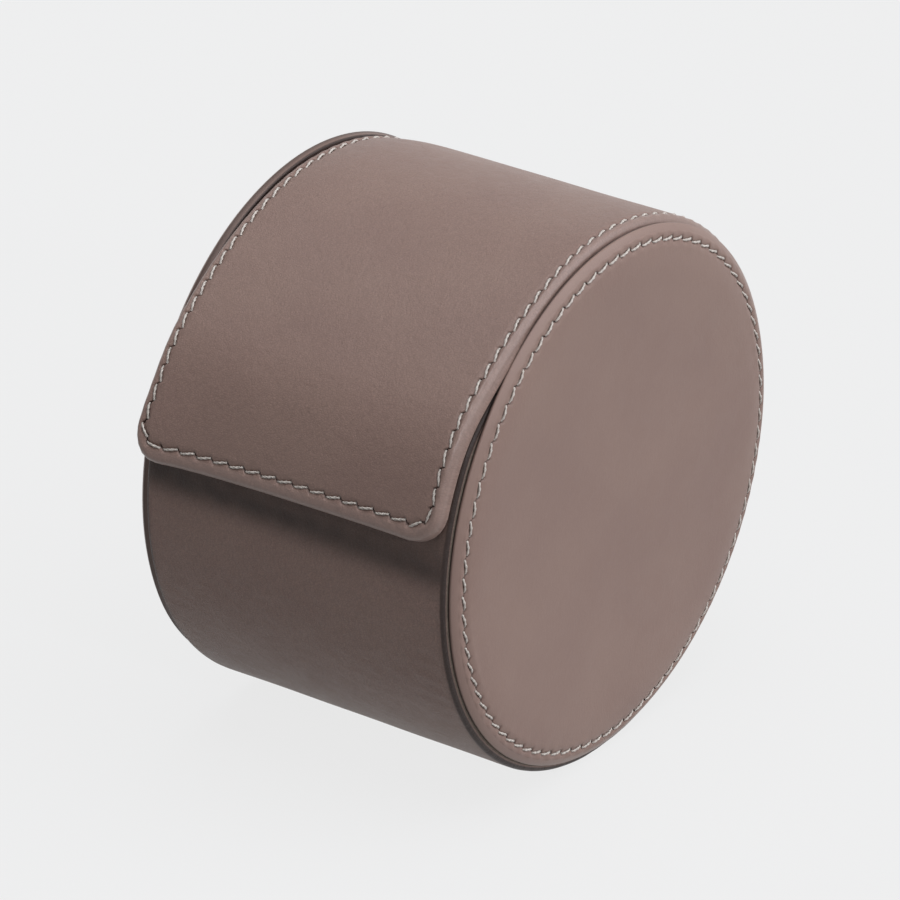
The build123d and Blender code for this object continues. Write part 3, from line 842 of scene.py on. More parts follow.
def build_fold(name, material, depths, halves, thickness, roll, reach):
    """A strip across the fold. Its depths below the leather and its half widths are those on the
    case's side and on the flap's."""
    drum, flap = sizes("drum"), sizes("flap")
    runs = np.linspace(-reach, reach, 25)[:, None]
    share = smooth((runs + reach) / (2 * reach))
    outside = drum.radius + (flap.radius - drum.radius) * share
    turn = hinge_angle() + runs / outside
    half = halves[0] + (halves[1] - halves[0]) * share
    side_roll, spacing = 0.03, 0.04
    x = half * end_stations(1.0, side_roll, spacing)[None]
    down = rolled_down(x, half, roll)
    top = outside - (depths[0] + (depths[1] - depths[0]) * share)
    places = np.stack([x, np.broadcast_to(drum.radius * turn, x.shape)], -1)
    shell = Shell()
    shell.slab(around(x, turn, top - down), around(x, turn, top - thickness), places)
    piece = shell.object(name, material, sizes("finishes").fold_grain)
    axis = np.array(HINGE["pos_m"])
    ahead = flap.fold * np.append(0, np.array([[0, -1], [1, 0]]) @ toward(hinge_angle()))
    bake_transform(piece)
    return piece


# Linings


def build_tube_lining(material):
    """The suede round the drum's inside, thinned at its front edge and at the fold."""
    drum, nap_height, thinned, air = sizes("drum"), 0.03 * MM, 0.25 * MM, 0.05 * MM
    # Angle over which it is thinned, in radians
    rim = 0.02
    first = drum.front_edge + (drum.front_edge_leather + 0.1 * MM) / drum.radius
    last = body_fold_turn()
    turns = np.concatenate([np.linspace(first, last - rim, 180), np.linspace(last - rim, last, 6)[1:]])
    whole_there = smooth((turns - first) / rim) * smooth((last - turns) / rim)
    inner = drum.bore_radius + thinned * (1 - whole_there)
    x = np.linspace(-drum.half_length + air, drum.half_length - air, 60)
    turn, across = np.meshgrid(turns, x, indexing="ij")
    places = np.stack([across, turn * drum.radius], -1)
    nap = nap_height * ripple(places, 9 * MM, 47)
    shell = Shell()
    shell.slab(around(across, turn, drum.board_radius), around(across, turn, inner[:, None] + nap), places)
    return shell.object("tube_suede", material)


def build_flap_lining(material):
    """The suede under the flap, thinned at its edge."""
    flap = sizes("flap")
    total = flap_length()
    half = flap.half_width - flap.leather
    calm, nap_height, edge_turn, edge_reach = total - 12 * MM, 0.03 * MM, 0.16 * MM, 0.5 * MM
    runs = np.concatenate([np.linspace(flap.fold, calm, 90)[:-1],
                           np.linspace(calm, total - flap.leather, 26)])
    corner = flap.corner - flap.leather
    over = np.maximum(runs - (total - flap.leather - corner), 0)
    widths = half - corner + np.sqrt(np.maximum(corner ** 2 - over ** 2, 0))
    across = widths[:, None] * np.sin(np.linspace(-math.pi / 2, math.pi / 2, 41))[None]
    run = np.broadcast_to(runs[:, None], across.shape)
    flat = np.stack([across, run], -1)
    edge = np.minimum(half - np.abs(across), total - flap.leather - run)
    nap = nap_height * ripple(flat, 8 * MM, 17) + edge_turn * (1 - smooth(edge / edge_reach))
    shell = Shell()
    shell.slab(on_flap(across, run, -(flap.thickness - flap.lining)),
               on_flap(across, run, -flap.thickness + nap), flat)
    return shell.object("flap_suede", material)


def build_flap_pad(material):
    """The thin foam between the flap's leather and its board."""
    flap, air, foam = sizes("flap"), 0.02 * MM, 0.5 * MM
    x = np.linspace(-1, 1, 31)[None] * (flap.half_width - flap.leather - 0.05 * MM)
    run = np.linspace(flap.fold, flap_length() - flap.leather - flap.corner, 90)[:, None]
    x, run = np.broadcast_arrays(x, run)
    flat = np.stack([x, run], -1)
    shell = Shell()
    shell.slab(on_flap(x, run, -flap.leather - air), on_flap(x, run, -flap.leather - foam), flat)
    return shell.object("flap_pad", material)


# Cushion


def cushion_ring(x, draw, puckers):
    """A ring round the cushion at x, smaller than its middle by draw, and its angles."""
    cushion = sizes("cushion")
    turn = 2 * math.pi * np.arange(CUSHION_STEPS) / CUSHION_STEPS
    gather = puckers * np.cos(cushion.gathers * turn + 1.3 * np.sin(3 * turn))
    shape = np.stack([-np.sin(turn) * (cushion.half_depth - draw),
                      np.cos(turn) * (cushion.half_height - draw)], -1)
    shape *= 1 + (gather / cushion.half_depth)[:, None]
    points = np.column_stack([np.full(CUSHION_STEPS, x), shape[:, 0], shape[:, 1] + cushion.centre])
    return points, turn


def build_cushion(material):
    """The stuffed cover, drawn in at its ends, gathered at its seams and tucked in behind them."""
    cushion = sizes("cushion")
    seam_x = cushion.half_length - cushion.seam
    tuck, middle_draw, seam_ease, tuck_ease, tuck_gather = -0.9 * MM, 0.25 * MM, 0.9 * MM, 0.65 * MM, 0.1 * MM
    # How far each tucked ring stands out from the seam, and how much smaller than the seam it is
    tucks = ((0.35 * MM, 0.5 * MM), (0.3 * MM, 1.3 * MM), (tuck, 2.4 * MM))
    shell = Shell()

    def row(points, turn):
        return shell.row(points, np.column_stack([points[:, 0], turn * cushion.half_depth]))

    rows = []
    for share in np.sin(np.linspace(-math.pi / 2, math.pi / 2, 61)):
        draw = middle_draw + (cushion.draw_in - seam_ease) * abs(share) ** 4.5
        fade = smooth((abs(share) - 0.72) / 0.28)
        points, turn = cushion_ring(share * seam_x, draw, cushion.gather * fade)
        lumps = cushion.lumps * ripple(points, 21 * MM, 53) / cushion.half_depth
        points[:, 1:] += (points[:, 1:] - [0, cushion.centre]) * lumps[:, None]
        points[:, 2] = np.maximum(points[:, 2], CUSHION_LOW.z)
        rows.append(row(points, turn))
    for end, side in ((0, -1), (-1, 1)):
        chain = [rows[end]]
        for out, smaller in tucks:
            draw = cushion.draw_in - tuck_ease + smaller
            chain.append(row(*cushion_ring(side * (seam_x + out), draw, tuck_gather)))
        for one, other in zip(chain, chain[1:]):
            shell.join(one, other, closed=True)
        shell.fan(chain[-1], (side * (seam_x + tuck), 0, cushion.centre), (0, 0))
    for one, other in zip(rows, rows[1:]):
        shell.join(one, other, closed=True)
    return shell.object("cushion_pillow", material)


def build_cushion_panel(name, side, material):
    """An end panel that bulges outwards, gathered at its seam and tucked in behind it."""
    cushion = sizes("cushion")
    seam_x, edge = cushion.half_length - cushion.seam, cushion.draw_in + 0.35 * MM
    crown, gather, lump, lift, tuck = 0.92 * cushion.seam, 0.12 * MM, 0.1 * MM, 0.1 * MM, 0.8 * MM
    turn = 2 * math.pi * np.arange(CUSHION_STEPS) / CUSHION_STEPS
    spokes = np.stack([-np.sin(turn) * (cushion.half_depth - edge),
                       np.cos(turn) * (cushion.half_height - edge)], -1)
    shell = Shell()

    def ring(share, x):
        flat = spokes * share
        return shell.row(np.column_stack([np.broadcast_to(side * x, turn.shape), flat[:, 0],
                                          flat[:, 1] + cushion.centre]), flat)

    rows = []
    for share in np.sin(np.linspace(0.06, math.pi / 2, 22)):
        pull = gather * smooth((share - 0.86) / 0.14) * np.cos(cushion.gathers * turn + 0.7)
        bulge = crown * (1 - share ** 3.2) + lift + pull + lump * ripple(spokes * share, 15 * MM, 61)
        rows.append(ring(share, np.minimum(seam_x + bulge, cushion.half_length + lift)))
    rows += [ring(1.0, seam_x - 0.5 * MM), ring(0.9, seam_x - tuck)]
    for one, other in zip(rows, rows[1:]):
        shell.join(one, other, closed=True)
    for row, x in ((rows[0], seam_x + crown + lift), (rows[-1], seam_x - tuck)):
        shell.fan(row, (side * x, 0, cushion.centre), (0, 0))
    return shell.object(name, material)


# Stitches


def add(tree, kind, sockets=(), **settings):
    """A node with its settings, and what goes into its sockets: values, sockets of other nodes, or
    other nodes, of which the first output is meant."""
    made = tree.nodes.new(kind)
    for key, value in settings.items():
        setattr(made, key, value)
    for key, value in dict(sockets).items():
        if isinstance(value, bpy.types.Node):
            value = value.outputs[0]
        if isinstance(value, bpy.types.NodeSocket):
            tree.links.new(value, made.inputs[key])
        else:
            made.inputs[key].default_value = value
    return made


def stitch_tree():
    """Geometry Nodes for a row of stitches along a line. Each stitch is a twisted two-ply thread
    that comes out of one hole and goes into the next. On its points, away is the way out of the
    leather. A stitch is made along Z, with X away from the leather."""
    tree = bpy.data.node_groups.new("Row of stitches", "GeometryNodeTree")
    face = tree.interface
    face.new_socket("Line", in_out="INPUT", socket_type="NodeSocketGeometry")
    for name, kind in (("Stitches", "Int"), ("Stitch length", "Float"), ("Thread diameter", "Float"),
                       ("Lean", "Float"), ("Dip", "Float"), ("Twist", "Float"), ("Thread", "Material")):
        face.new_socket(name, in_out="INPUT", socket_type="NodeSocket" + kind)
    face.new_socket("Stitches", in_out="OUTPUT", socket_type="NodeSocketGeometry")
    given = add(tree, "NodeGroupInput").outputs
    half = add(tree, "ShaderNodeMath", {0: given["Stitch length"], 1: 0.5}, operation="MULTIPLY")
    back = add(tree, "ShaderNodeMath", {0: half, 1: -1.0}, operation="MULTIPLY")
    low = add(tree, "ShaderNodeMath", {0: given["Dip"], 1: -1.0}, operation="MULTIPLY")
    start = add(tree, "ShaderNodeCombineXYZ", {"X": low, "Z": back})
    middle = add(tree, "ShaderNodeCombineXYZ", {"X": given["Dip"]})
    end = add(tree, "ShaderNodeCombineXYZ", {"X": low, "Z": half})
    thread = add(tree, "GeometryNodeCurveQuadraticBezier",
                 {"Resolution": 10, "Start": start, "Middle": middle, "End": end})
    factor = add(tree, "GeometryNodeSplineParameter").outputs["Factor"]
    turns = add(tree, "ShaderNodeMath", {0: given["Twist"], 1: 2 * math.pi}, operation="MULTIPLY")
    twist = add(tree, "ShaderNodeMath", {0: factor, 1: turns}, operation="MULTIPLY")
    twisted = add(tree, "GeometryNodeSetCurveTilt", {"Curve": thread, "Tilt": twist})
    radius = add(tree, "ShaderNodeMath", {0: given["Thread diameter"], 1: 0.5}, operation="MULTIPLY")
    circle = add(tree, "GeometryNodeCurvePrimitiveCircle", {"Resolution": 6, "Radius": radius})
    plies = add(tree, "GeometryNodeTransform", {"Geometry": circle, "Scale": (1.0, 0.68, 1.0)})
    stitch = add(tree, "GeometryNodeCurveToMesh",
                 {"Curve": twisted, "Profile Curve": plies, "Fill Caps": True})
    line = add(tree, "GeometryNodeMeshToCurve", {"Mesh": given["Line"]})
    spots = add(tree, "GeometryNodeResampleCurve", {"Curve": line, "Count": given["Stitches"]})
    tangent = add(tree, "GeometryNodeInputTangent")
    away = add(tree, "GeometryNodeInputNamedAttribute", {"Name": "away"}, data_type="FLOAT_VECTOR")
    facing = add(tree, "FunctionNodeAlignRotationToVector", {"Vector": tangent}, axis="Z")
    upright = add(tree, "FunctionNodeAlignRotationToVector", {"Rotation": facing, "Vector": away},
                  axis="X", pivot_axis="Z")
    leaning = add(tree, "ShaderNodeCombineXYZ", {"X": given["Lean"]})
    turned = add(tree, "FunctionNodeEulerToRotation", {"Euler": leaning})
    rotation = add(tree, "FunctionNodeRotateRotation", {"Rotation": upright, "Rotate By": turned},
                   rotation_space="LOCAL")
    rows = add(tree, "GeometryNodeInstanceOnPoints",
               {"Points": spots, "Instance": stitch, "Rotation": rotation})
    real = add(tree, "GeometryNodeRealizeInstances", {"Geometry": rows})
    soft = add(tree, "GeometryNodeSetShadeSmooth", {"Geometry": real})
    painted = add(tree, "GeometryNodeSetMaterial", {"Geometry": soft, "Material": given["Thread"]})
    add(tree, "NodeGroupOutput", {"Stitches": painted})
    return tree


def build_stitches(name, line, away, closed, count, material):
    """A row of stitches along a line of points, each with the direction away from the leather."""
    stitch = sizes("stitches")
    mesh = bpy.data.meshes.new(name)
    edges = [(at, at + 1) for at in range(len(line) - 1)]
    mesh.from_pydata(line.tolist(), edges + ([(len(line) - 1, 0)] if closed else []), [])
    outward = mesh.attributes.new("away", "FLOAT_VECTOR", "POINT").data
    outward.foreach_set("vector", away.astype(np.float32).ravel())
    piece = bpy.data.objects.new(name, mesh)
    bpy.context.scene.collection.objects.link(piece)
    tree = bpy.data.node_groups.get("Row of stitches") or stitch_tree()
    modifier = piece.modifiers.new("Row of stitches", "NODES")
    modifier.node_group = tree
    values = {"Stitches": count, "Stitch length": stitch.length, "Thread diameter": stitch.diameter,
              "Lean": stitch.lean, "Dip": stitch.dip, "Twist": stitch.twist, "Thread": material}
    for socket in tree.interface.items_tree:
        if socket.in_out == "INPUT" and socket.name in values:
            modifier[socket.identifier] = values[socket.name]
    bpy.context.view_layer.update()
    made = bpy.data.meshes.new_from_object(piece.evaluated_get(bpy.context.evaluated_depsgraph_get()))
    piece.modifiers.clear()
    piece.data = made
    made.name = name
    return piece


# Materials


def new_material(name):
    """A material with an empty node tree."""
    material = bpy.data.materials.new(name)
    material.use_nodes = True
    material.node_tree.nodes.clear()
    return material, material.node_tree


def rgba(value):
    return (*value, 1.0)


def per_metre(millimetres):
    """A texture's scale, from the real size of its pattern."""
    return 1 / (millimetres * MM)


def patterned(tree, dye, pattern, pattern_range, shades, strength, depth):
    """What a pattern gives a surface: the dye, darker or lighter with it, and a relief of that depth
    in millimetres."""
    shade = add(tree, "ShaderNodeMapRange", {"Value": pattern, "From Min": pattern_range[0],
                                             "From Max": pattern_range[1], "To Min": shades[0],
                                             "To Max": shades[1]})
    shaded = add(tree, "ShaderNodeVectorMath", {0: dye, 1: shade}, operation="MULTIPLY")
    relief = add(tree, "ShaderNodeBump", {"Height": pattern, "Strength": strength, "Distance": depth * MM})
    return {"Base Color": shaded, "Normal": relief}


def calf_leather(name):
    # Chrome-tanned calf leather, dyed through, with a thin satin topcoat: an even taupe, a little
    # cloudy, with fine drawn pores, burnished rolled edges and dark raw fibre where it is cut. The marks
    # also paint shade into the cuts, the seams and the front wall under the flap and below its lip.
    # The pores and fibres are drawn about twice as coarse as real ones, so that they show.
    finish = sizes("finishes")
    material, tree = new_material(name)
    hide = add(tree, "ShaderNodeUVMap", uv_map="hide")
    grain = add(tree, "ShaderNodeAttribute", attribute_name="grain").outputs["Fac"]
    mark = add(tree, "ShaderNodeAttribute", attribute_name="mark").outputs["Fac"]
    clouds = add(tree, "ShaderNodeTexNoise", {"Vector": hide, "Scale": per_metre(21), "Detail": 3.0})
    cloudy = add(tree, "ShaderNodeMapRange", {"Value": clouds, "From Min": 0.34, "From Max": 0.66})
    dyed = add(tree, "ShaderNodeMix", {0: cloudy, 6: rgba(finish.leather), 7: rgba(finish.leather_deep)},
               data_type="RGBA").outputs[2]
    drawn = add(tree, "ShaderNodeMapping", {"Vector": hide, "Rotation": (0.0, 0.0, math.radians(35)),
                                            "Scale": (1.0, 0.4, 1.0)})
    fibres = add(tree, "ShaderNodeTexNoise", {"Vector": drawn, "Scale": per_metre(0.5), "Detail": 3.0,
                                              "Roughness": 0.6})
    streaked = add(tree, "ShaderNodeMapRange", {"Value": fibres, "From Min": 0.3, "From Max": 0.7,
                                                "To Min": 0.96, "To Max": 1.03})
    pebbles = add(tree, "ShaderNodeTexVoronoi", {"Vector": hide, "Scale": per_metre(0.42)},
                  feature="DISTANCE_TO_EDGE").outputs["Distance"]
    rounded = add(tree, "ShaderNodeMapRange", {"Value": pebbles, "From Max": 0.22},
                  interpolation_type="SMOOTHSTEP")
    in_pore = add(tree, "ShaderNodeMapRange", {"Value": rounded, "To Min": 0.93, "To Max": 1.0})
    shade = add(tree, "ShaderNodeMath", {0: in_pore, 1: streaked}, operation="MULTIPLY")
    shade = add(tree, "ShaderNodeMath", {0: shade, 1: grain}, operation="POWER")
    grained = add(tree, "ShaderNodeVectorMath", {0: dyed, 1: shade}, operation="MULTIPLY")
    # Painted shade: the mark mixes the dark colour into the cuts, the seams and the front wall under the flap
    marked = add(tree, "ShaderNodeMix", {0: mark, 6: grained, 7: rgba(finish.cut_and_painted_shade)},
                 data_type="RGBA").outputs[2]
    creases = add(tree, "ShaderNodeTexNoise", {"Vector": hide, "Scale": per_metre(3.2), "Detail": 5.0,
                                               "Distortion": 0.8})
    worn = add(tree, "ShaderNodeMapRange", {"Value": creases, "From Min": 0.3, "From Max": 0.7,
                                            "To Min": 0.46, "To Max": 0.56})
    burnished = add(tree, "ShaderNodeMapRange", {"Value": mark, "From Min": -1.0, "From Max": 0.0,
                                                 "To Min": 0.7, "To Max": 0.18})
    relief = add(tree, "ShaderNodeMath", {0: grain, 1: 0.45}, operation="MULTIPLY")
    bump = add(tree, "ShaderNodeBump", {"Height": rounded, "Strength": relief, "Distance": 0.03 * MM})
    for pattern, depth in ((fibres, 0.13 * MM), (creases, 0.2 * MM)):
        bump = add(tree, "ShaderNodeBump", {"Height": pattern, "Strength": relief, "Distance": depth,
                                            "Normal": bump})
    surface = add(tree, "ShaderNodeBsdfPrincipled", {
        "Base Color": marked, "Roughness": worn, "Coat Weight": burnished, "Normal": bump, "IOR": 1.45,
        "Specular IOR Level": 0.17, "Sheen Weight": 0.06, "Sheen Roughness": 0.45, "Coat Roughness": 0.36})
    add(tree, "ShaderNodeOutputMaterial", {"Surface": surface})
    return material


def napped_suede(name):
    # Pigskin split, buffed to a short nap: matt, soft to the light at grazing angles, with patches
    # where the nap has been stroked the other way. The nap is drawn coarser than it is, to show.
    finish = sizes("finishes")
    material, tree = new_material(name)
    hide = add(tree, "ShaderNodeUVMap", uv_map="hide")
    stroked = add(tree, "ShaderNodeTexNoise", {"Vector": hide, "Scale": per_metre(11), "Detail": 4.0,
                                               "Distortion": 0.6})
    lies = add(tree, "ShaderNodeMapRange", {"Value": stroked, "From Min": 0.4, "From Max": 0.6})
    dyed = add(tree, "ShaderNodeMix", {0: lies, 6: rgba(finish.suede), 7: rgba(finish.suede_deep)},
               data_type="RGBA").outputs[2]
    nap = add(tree, "ShaderNodeTexNoise", {"Vector": hide, "Scale": per_metre(0.3), "Detail": 3.0,
                                           "Roughness": 0.7})
    surface = add(tree, "ShaderNodeBsdfPrincipled", {
        **patterned(tree, dyed, nap, (0.3, 0.7), (0.84, 1.12), 0.7, 0.12), "IOR": 1.45, "Roughness": 0.95,
        "Specular IOR Level": 0.15, "Sheen Weight": 0.45, "Sheen Roughness": 0.6})
    add(tree, "ShaderNodeOutputMaterial", {"Surface": surface})
    return material


def waxed_thread(name):
    # Two-ply polyester thread, waxed: ecru, slightly shiny along its plies, with fine fibres, which
    # are drawn far coarser than they are, to show.
    material, tree = new_material(name)
    place = add(tree, "ShaderNodeTexCoord").outputs["Object"]
    fibres = add(tree, "ShaderNodeTexNoise", {"Vector": place, "Scale": per_metre(0.22), "Detail": 2.0})
    surface = add(tree, "ShaderNodeBsdfPrincipled", {
        **patterned(tree, sizes("finishes").thread, fibres, (0.3, 0.7), (0.8, 1.05), 0.5, 0.08),
        "IOR": 1.5, "Roughness": 0.5, "Sheen Weight": 0.2, "Sheen Roughness": 0.4})
    add(tree, "ShaderNodeOutputMaterial", {"Surface": surface})
    return material


def fibre_board(name):
    # Pressed leather-fibre board: matt grey brown, flecked with fibres about a millimetre long.
    material, tree = new_material(name)
    place = add(tree, "ShaderNodeTexCoord").outputs["Object"]
    drawn = add(tree, "ShaderNodeMapping", {"Vector": place, "Scale": (0.3, 1.0, 1.0)})
    flecks = add(tree, "ShaderNodeTexNoise", {"Vector": drawn, "Scale": per_metre(0.6), "Detail": 4.0,
                                              "Roughness": 0.65})
    surface = add(tree, "ShaderNodeBsdfPrincipled", {
        **patterned(tree, sizes("finishes").board, flecks, (0.3, 0.7), (0.72, 1.2), 0.4, 0.1),
        "IOR": 1.5, "Roughness": 0.85})
    add(tree, "ShaderNodeOutputMaterial", {"Surface": surface})
    return material


def open_foam(name):
    # Slabstock polyurethane foam, cut by wire: pale cream with open cells under a millimetre wide.
    material, tree = new_material(name)
    place = add(tree, "ShaderNodeTexCoord").outputs["Object"]
    cells = add(tree, "ShaderNodeTexVoronoi", {"Vector": place, "Scale": per_metre(0.8)})
    surface = add(tree, "ShaderNodeBsdfPrincipled", {
        **patterned(tree, sizes("finishes").foam, cells, (0.0, 0.6), (0.62, 1.0), 0.6, 0.25),
        "IOR": 1.4, "Roughness": 0.9})
    add(tree, "ShaderNodeOutputMaterial", {"Surface": surface})
    return material


def nickel_plate(name):
    # Nickel plating on sintered magnets: bright, with a fine satin tooth from tumbling, which is
    # drawn coarser than it is, to show.
    material, tree = new_material(name)
    place = add(tree, "ShaderNodeTexCoord").outputs["Object"]
    tumbled = add(tree, "ShaderNodeTexNoise", {"Vector": place, "Scale": per_metre(0.5), "Detail": 4.0})
    satin = add(tree, "ShaderNodeMapRange", {"Value": tumbled, "To Min": 0.18, "To Max": 0.34})
    surface = add(tree, "ShaderNodeBsdfPrincipled", {
        "Base Color": rgba(sizes("finishes").nickel), "Roughness": satin, "Metallic": 1.0})
    add(tree, "ShaderNodeOutputMaterial", {"Surface": surface})
    return material


FINISHES = {"taupe_leather": ("Calf leather, satin topcoat", calf_leather),
            "suede_lining": ("Pigskin suede, napped", napped_suede),
            "thread": ("Polyester thread, waxed", waxed_thread),
            "board": ("Fibre board, pressed", fibre_board),
            "foam": ("Polyurethane foam, cut", open_foam),
            "magnet": ("Nickel plate, tumbled", nickel_plate)}


def finish_for(slot):
    """The material for one of the record's slots, made the first time that it is asked for."""
    name, make = FINISHES[slot]
    return bpy.data.materials.get(name) or make(name)


# Stage


def seen_directly(tree):
    """1 where the camera sees a thing, also mirrored or through something, and 0 for light on others."""
    path = add(tree, "ShaderNodeLightPath").outputs
    seen = add(tree, "ShaderNodeMath", {0: path["Is Camera Ray"], 1: path["Is Glossy Ray"]},
               operation="MAXIMUM")
    return add(tree, "ShaderNodeMath", {0: seen, 1: path["Is Transmission Ray"]}, operation="MAXIMUM")


def build_floor():
    side = 6.0
    mesh = bpy.data.meshes.new("studio_floor")
    mesh.from_pydata([(-side, -side, 0), (side, -side, 0), (side, side, 0), (-side, side, 0)], [],
                     [(0, 1, 2, 3)])
    floor = bpy.data.objects.new("studio_floor", mesh)
    bpy.context.scene.collection.objects.link(floor)
    # Seamless studio paper: matt and pale, seen evenly lit, with the object's shadow kept faint.
    finish = sizes("finishes")
    material, tree = new_material("Paper, matt")
    grey = add(tree, "ShaderNodeBsdfDiffuse", {"Color": rgba(finish.floor_bounce)})
    even = add(tree, "ShaderNodeEmission", {"Color": rgba(finish.floor)})
    shaded = add(tree, "ShaderNodeBsdfDiffuse", {"Color": rgba(finish.floor_shaded)})
    pale = add(tree, "ShaderNodeMixShader", {0: 0.91, 1: shaded, 2: even})
    both = add(tree, "ShaderNodeMixShader", {0: seen_directly(tree), 1: grey, 2: pale})
    add(tree, "ShaderNodeOutputMaterial", {"Surface": both})
    mesh.materials.append(material)


def build_world():
    world = bpy.data.worlds.new("Soft studio")
    world.use_nodes = True
    tree = world.node_tree
    tree.nodes.clear()
    fill = add(tree, "ShaderNodeBackground", {"Color": (0.95, 0.98, 1.0, 1.0), "Strength": 0.1})
    paper = add(tree, "ShaderNodeBackground", {"Color": rgba(sizes("finishes").floor), "Strength": 1.0})
    both = add(tree, "ShaderNodeMixShader", {0: seen_directly(tree), 1: fill, 2: paper})
    add(tree, "ShaderNodeOutputWorld", {"Surface": both})
    bpy.context.scene.world = world


def build_lights():
    """Softboxes, far away: large ones overhead and at the right back, and a small one at the right."""
    for name, energy, spread, place in (("Overhead softbox", 2.2, 60, (0.05, 0.0, 1.0)),
                                        ("Back softbox", 1.8, 60, (0.8, 0.42, 0.43)),
                                        ("Side softbox", 0.6, 7, (0.85, -0.35, 0.4))):
        light = bpy.data.lights.new(name, "SUN")
        light.color = (0.96, 1.0, 1.07)
        light.energy = energy
        light.angle = math.radians(spread)
        lamp = bpy.data.objects.new(name, light)
        bpy.context.scene.collection.objects.link(lamp)
        lamp.rotation_mode = "QUATERNION"
        lamp.rotation_quaternion = Vector(place).to_track_quat("Z", "Y")


def build_camera():
    """The photograph's view: from the right front and above, from a metre away."""
    around_z, up, distance = math.radians(34.97), math.radians(27.62), 1.0
    aside, lower = 1.75 * MM, 0.5 * MM
    back = Vector((math.sin(around_z) * math.cos(up), -math.cos(around_z) * math.cos(up), math.sin(up)))
    right = Vector((math.cos(around_z), math.sin(around_z), 0))
    above = back.cross(right)
    data = bpy.data.cameras.new("Camera")
    data.lens, data.sensor_width = 247.79, 36.0
    data.clip_start, data.clip_end = 0.01, 100.0
    camera = bpy.data.objects.new("Camera", data)
    bpy.context.scene.collection.objects.link(camera)
    camera.rotation_mode = "QUATERNION"
    camera.rotation_quaternion = Matrix((right, above, back)).transposed().to_quaternion()
    camera.location = (Vector((0, 0, sizes("drum").axis_height)) + back * distance
                       - right * aside - above * lower)
    bpy.context.scene.camera = camera


# Operators


class ROLL_OT_stage(bpy.types.Operator):
    """Make the floor, the light and the camera"""
    bl_idname = "roll.stage"
    bl_label = "Stage"

    def execute(self, context):
        context.scene.view_settings.view_transform = "Standard"
        build_floor()
        build_world()
        build_lights()
        build_camera()
        return {"FINISHED"}


class ROLL_OT_body_leather(bpy.types.Operator):
    """Cover the drum in leather, turned over the front wall's edge"""
    bl_idname = "roll.body_leather"
    bl_label = "Body leather"

    def execute(self, context):
        dress(build_body(finish_for("taupe_leather")), "case", "taupe_leather", "body_leather")
        return {"FINISHED"}


class ROLL_OT_ends(bpy.types.Operator):
    """Make the two padded leather ends"""
    bl_idname = "roll.ends"
    bl_label = "Padded ends"

    def execute(self, context):
        for name, side in SIDES:
            dress(build_end(name + "_end_cover", side, finish_for("taupe_leather")), "case",
                  "taupe_leather", name + "_end_leather")
        return {"FINISHED"}


class ROLL_OT_flap_leather(bpy.types.Operator):
    """Cover the flap in leather, rolled over at its edges"""
    bl_idname = "roll.flap_leather"
    bl_label = "Flap leather"

    def execute(self, context):
        dress(build_flap(finish_for("taupe_leather")), "flap", "taupe_leather", "flap_leather")
        return {"FINISHED"}


class ROLL_OT_fold(bpy.types.Operator):
    """Make the strips of leather and suede that lie across the fold at the back, between the body and the
    flap
    """
    bl_idname = "roll.fold"
    bl_label = "Fold"

    def execute(self, context):
        drum, flap = sizes("drum"), sizes("flap")
        leather = build_fold("fold_leather", finish_for("taupe_leather"), (0.0, 0.0),
                             (drum.half_length, flap.half_width), flap.leather, drum.seam_roll, flap.fold)
        suede = build_fold("fold_suede", finish_for("suede_lining"), (drum.leather, flap.leather),
                           (drum.half_length - drum.leather, flap.half_width - flap.leather),
                           flap.lining, 0.1 * MM, 0.8 * flap.fold)
        return {"FINISHED"}


class ROLL_OT_stitching(bpy.types.Operator):
    """Sew the rows of stitches round the ends and along the flap"""
    bl_idname = "roll.stitching"
    bl_label = "Stitching"

    def execute(self, context):
        ends, flap = sizes("ends"), sizes("flap")
        for name, side in SIDES:
            line, away = end_row(side)
            dress(build_stitches(name + "_end_stitching", line, away, True, ends.stitches,
                                 finish_for("thread")), "case", "thread", name + "_end_thread")
        _, row, along, pitch = flap_row()
        line, away = on_row(row), on_flap(row[:, 0], row[:, 1], 1.0) - on_flap(row[:, 0], row[:, 1], 0.0)
        at = np.linspace(pitch / 2, pitch * (flap.stitches - 0.5), flap.stitches * 12)
        line = np.stack([np.interp(at, along, line[:, axis]) for axis in range(3)], -1)
        away = np.stack([np.interp(at, along, away[:, axis]) for axis in range(3)], -1)
        dress(build_stitches("flap_stitching", line, away, False, flap.stitches, finish_for("thread")),
              "flap", "thread", "flap_thread")
        return {"FINISHED"}


class ROLL_OT_linings(bpy.types.Operator):
    """Line the drum, its ends and the flap with suede"""
    bl_idname = "roll.linings"
    bl_label = "Suede linings"

    def execute(self, context):
        suede = finish_for("suede_lining")
        dress(build_tube_lining(suede), "case", "suede_lining", "tube_lining")
        for name, side in SIDES:
            dress(build_end_lining(name + "_end_suede", side, suede), "case", "suede_lining",
                  name + "_end_lining")
        dress(build_flap_lining(suede), "flap", "suede_lining", "flap_lining")
        return {"FINISHED"}


class ROLL_OT_padding(bpy.types.Operator):
    """Put the thin foam pads under the leather of the ends and the flap"""
    bl_idname = "roll.padding"
    bl_label = "Foam pads"

    def execute(self, context):
        foam = finish_for("foam")
        for name, side in SIDES:
            dress(build_end_pad(name + "_end_pad", side, foam), "case", "foam",
                            name + "_end_foam")
        dress(build_flap_pad(foam), "flap", "foam", "flap_padding")
        return {"FINISHED"}


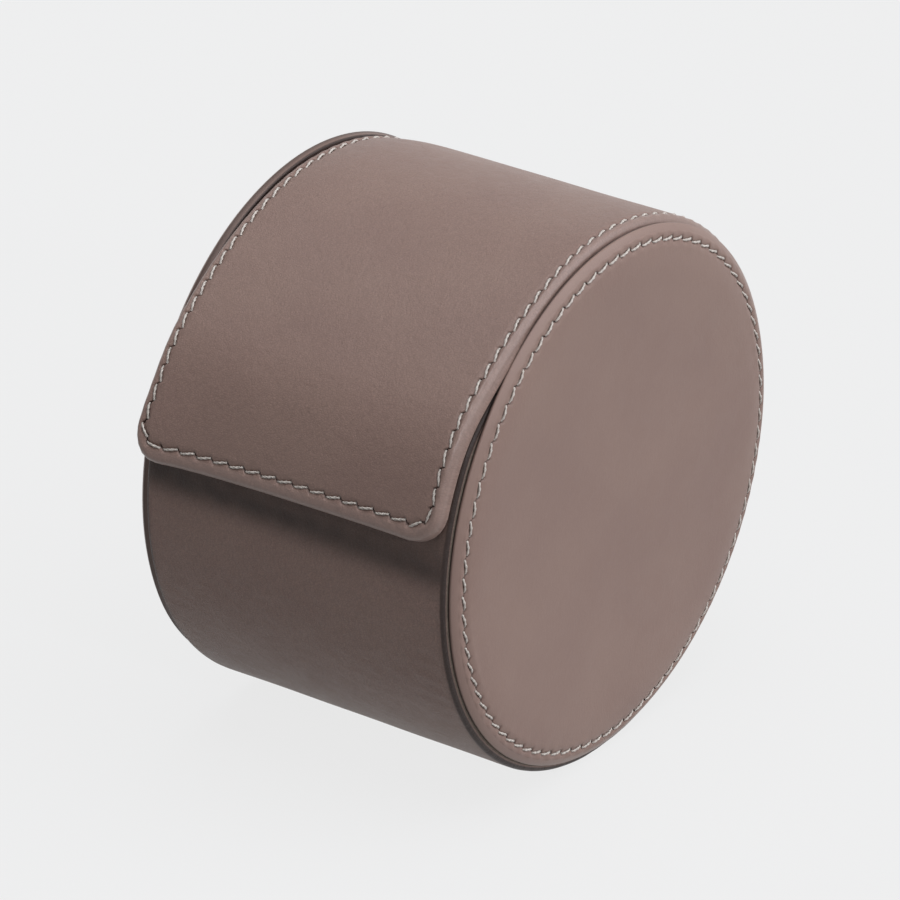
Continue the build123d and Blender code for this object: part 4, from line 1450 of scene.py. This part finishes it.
class ROLL_OT_stiffeners(bpy.types.Operator):
    """Finish the boards and magnets, whose shapes are right as they are"""
    bl_idname = "roll.stiffeners"
    bl_label = "Boards and magnets"

    def execute(self, context):
        for node in ("tube_board", "right_end_board", "left_end_board", "flap_board"):
            repaint(node, "board")
        for node in ("body_magnets", "flap_magnets"):
            repaint(node, "magnet")
        return {"FINISHED"}


class ROLL_OT_cushion(bpy.types.Operator):
    """Make the stuffed watch cushion and its end panels"""
    bl_idname = "roll.cushion"
    bl_label = "Watch cushion"

    def execute(self, context):
        suede = finish_for("suede_lining")
        pillow = dress(build_cushion(suede), "watch_cushion", "suede_lining", "cushion_cover", "cushion_core")
        for name, side in SIDES:
            panel = dress(build_cushion_panel(name + "_cushion_panel", side, suede), "watch_cushion",
                          "suede_lining", "cushion_" + name + "_panel")
        return {"FINISHED"}


class ROLL_PT_parts(bpy.types.Panel):
    bl_label = "Watch roll"
    bl_idname = "ROLL_PT_parts"
    bl_space_type = "VIEW_3D"
    bl_region_type = "UI"
    bl_category = "Watch roll"

    def draw(self, context):
        for operator in OPERATORS:
            self.layout.operator(operator.bl_idname)
        for name, group in GROUPS.items():
            box = self.layout.box()
            box.label(text=name.capitalize())
            for key in group.__annotations__:
                box.prop(getattr(context.scene, "roll_" + name), key)


GROUPS = {"drum": DrumSizes, "ends": EndSizes, "flap": FlapSizes, "stitches": StitchSizes,
          "cushion": CushionSizes, "finishes": Finishes}
OPERATORS = (ROLL_OT_stage, ROLL_OT_body_leather, ROLL_OT_ends, ROLL_OT_flap_leather, ROLL_OT_fold,
             ROLL_OT_stitching, ROLL_OT_linings, ROLL_OT_padding, ROLL_OT_stiffeners, ROLL_OT_cushion)


def register():
    for group in (*GROUPS.values(), *OPERATORS, ROLL_PT_parts):
        bpy.utils.register_class(group)
    for name, group in GROUPS.items():
        setattr(bpy.types.Scene, "roll_" + name, PointerProperty(type=group))


def unregister():
    for name in GROUPS:
        delattr(bpy.types.Scene, "roll_" + name)
    for group in (ROLL_PT_parts, *reversed(OPERATORS), *GROUPS.values()):
        bpy.utils.unregister_class(group)


def main():
    register()
    for operator in OPERATORS:
        group, name = operator.bl_idname.split(".")
        getattr(getattr(bpy.ops, group), name)()


if __name__ == "__main__":
    main()
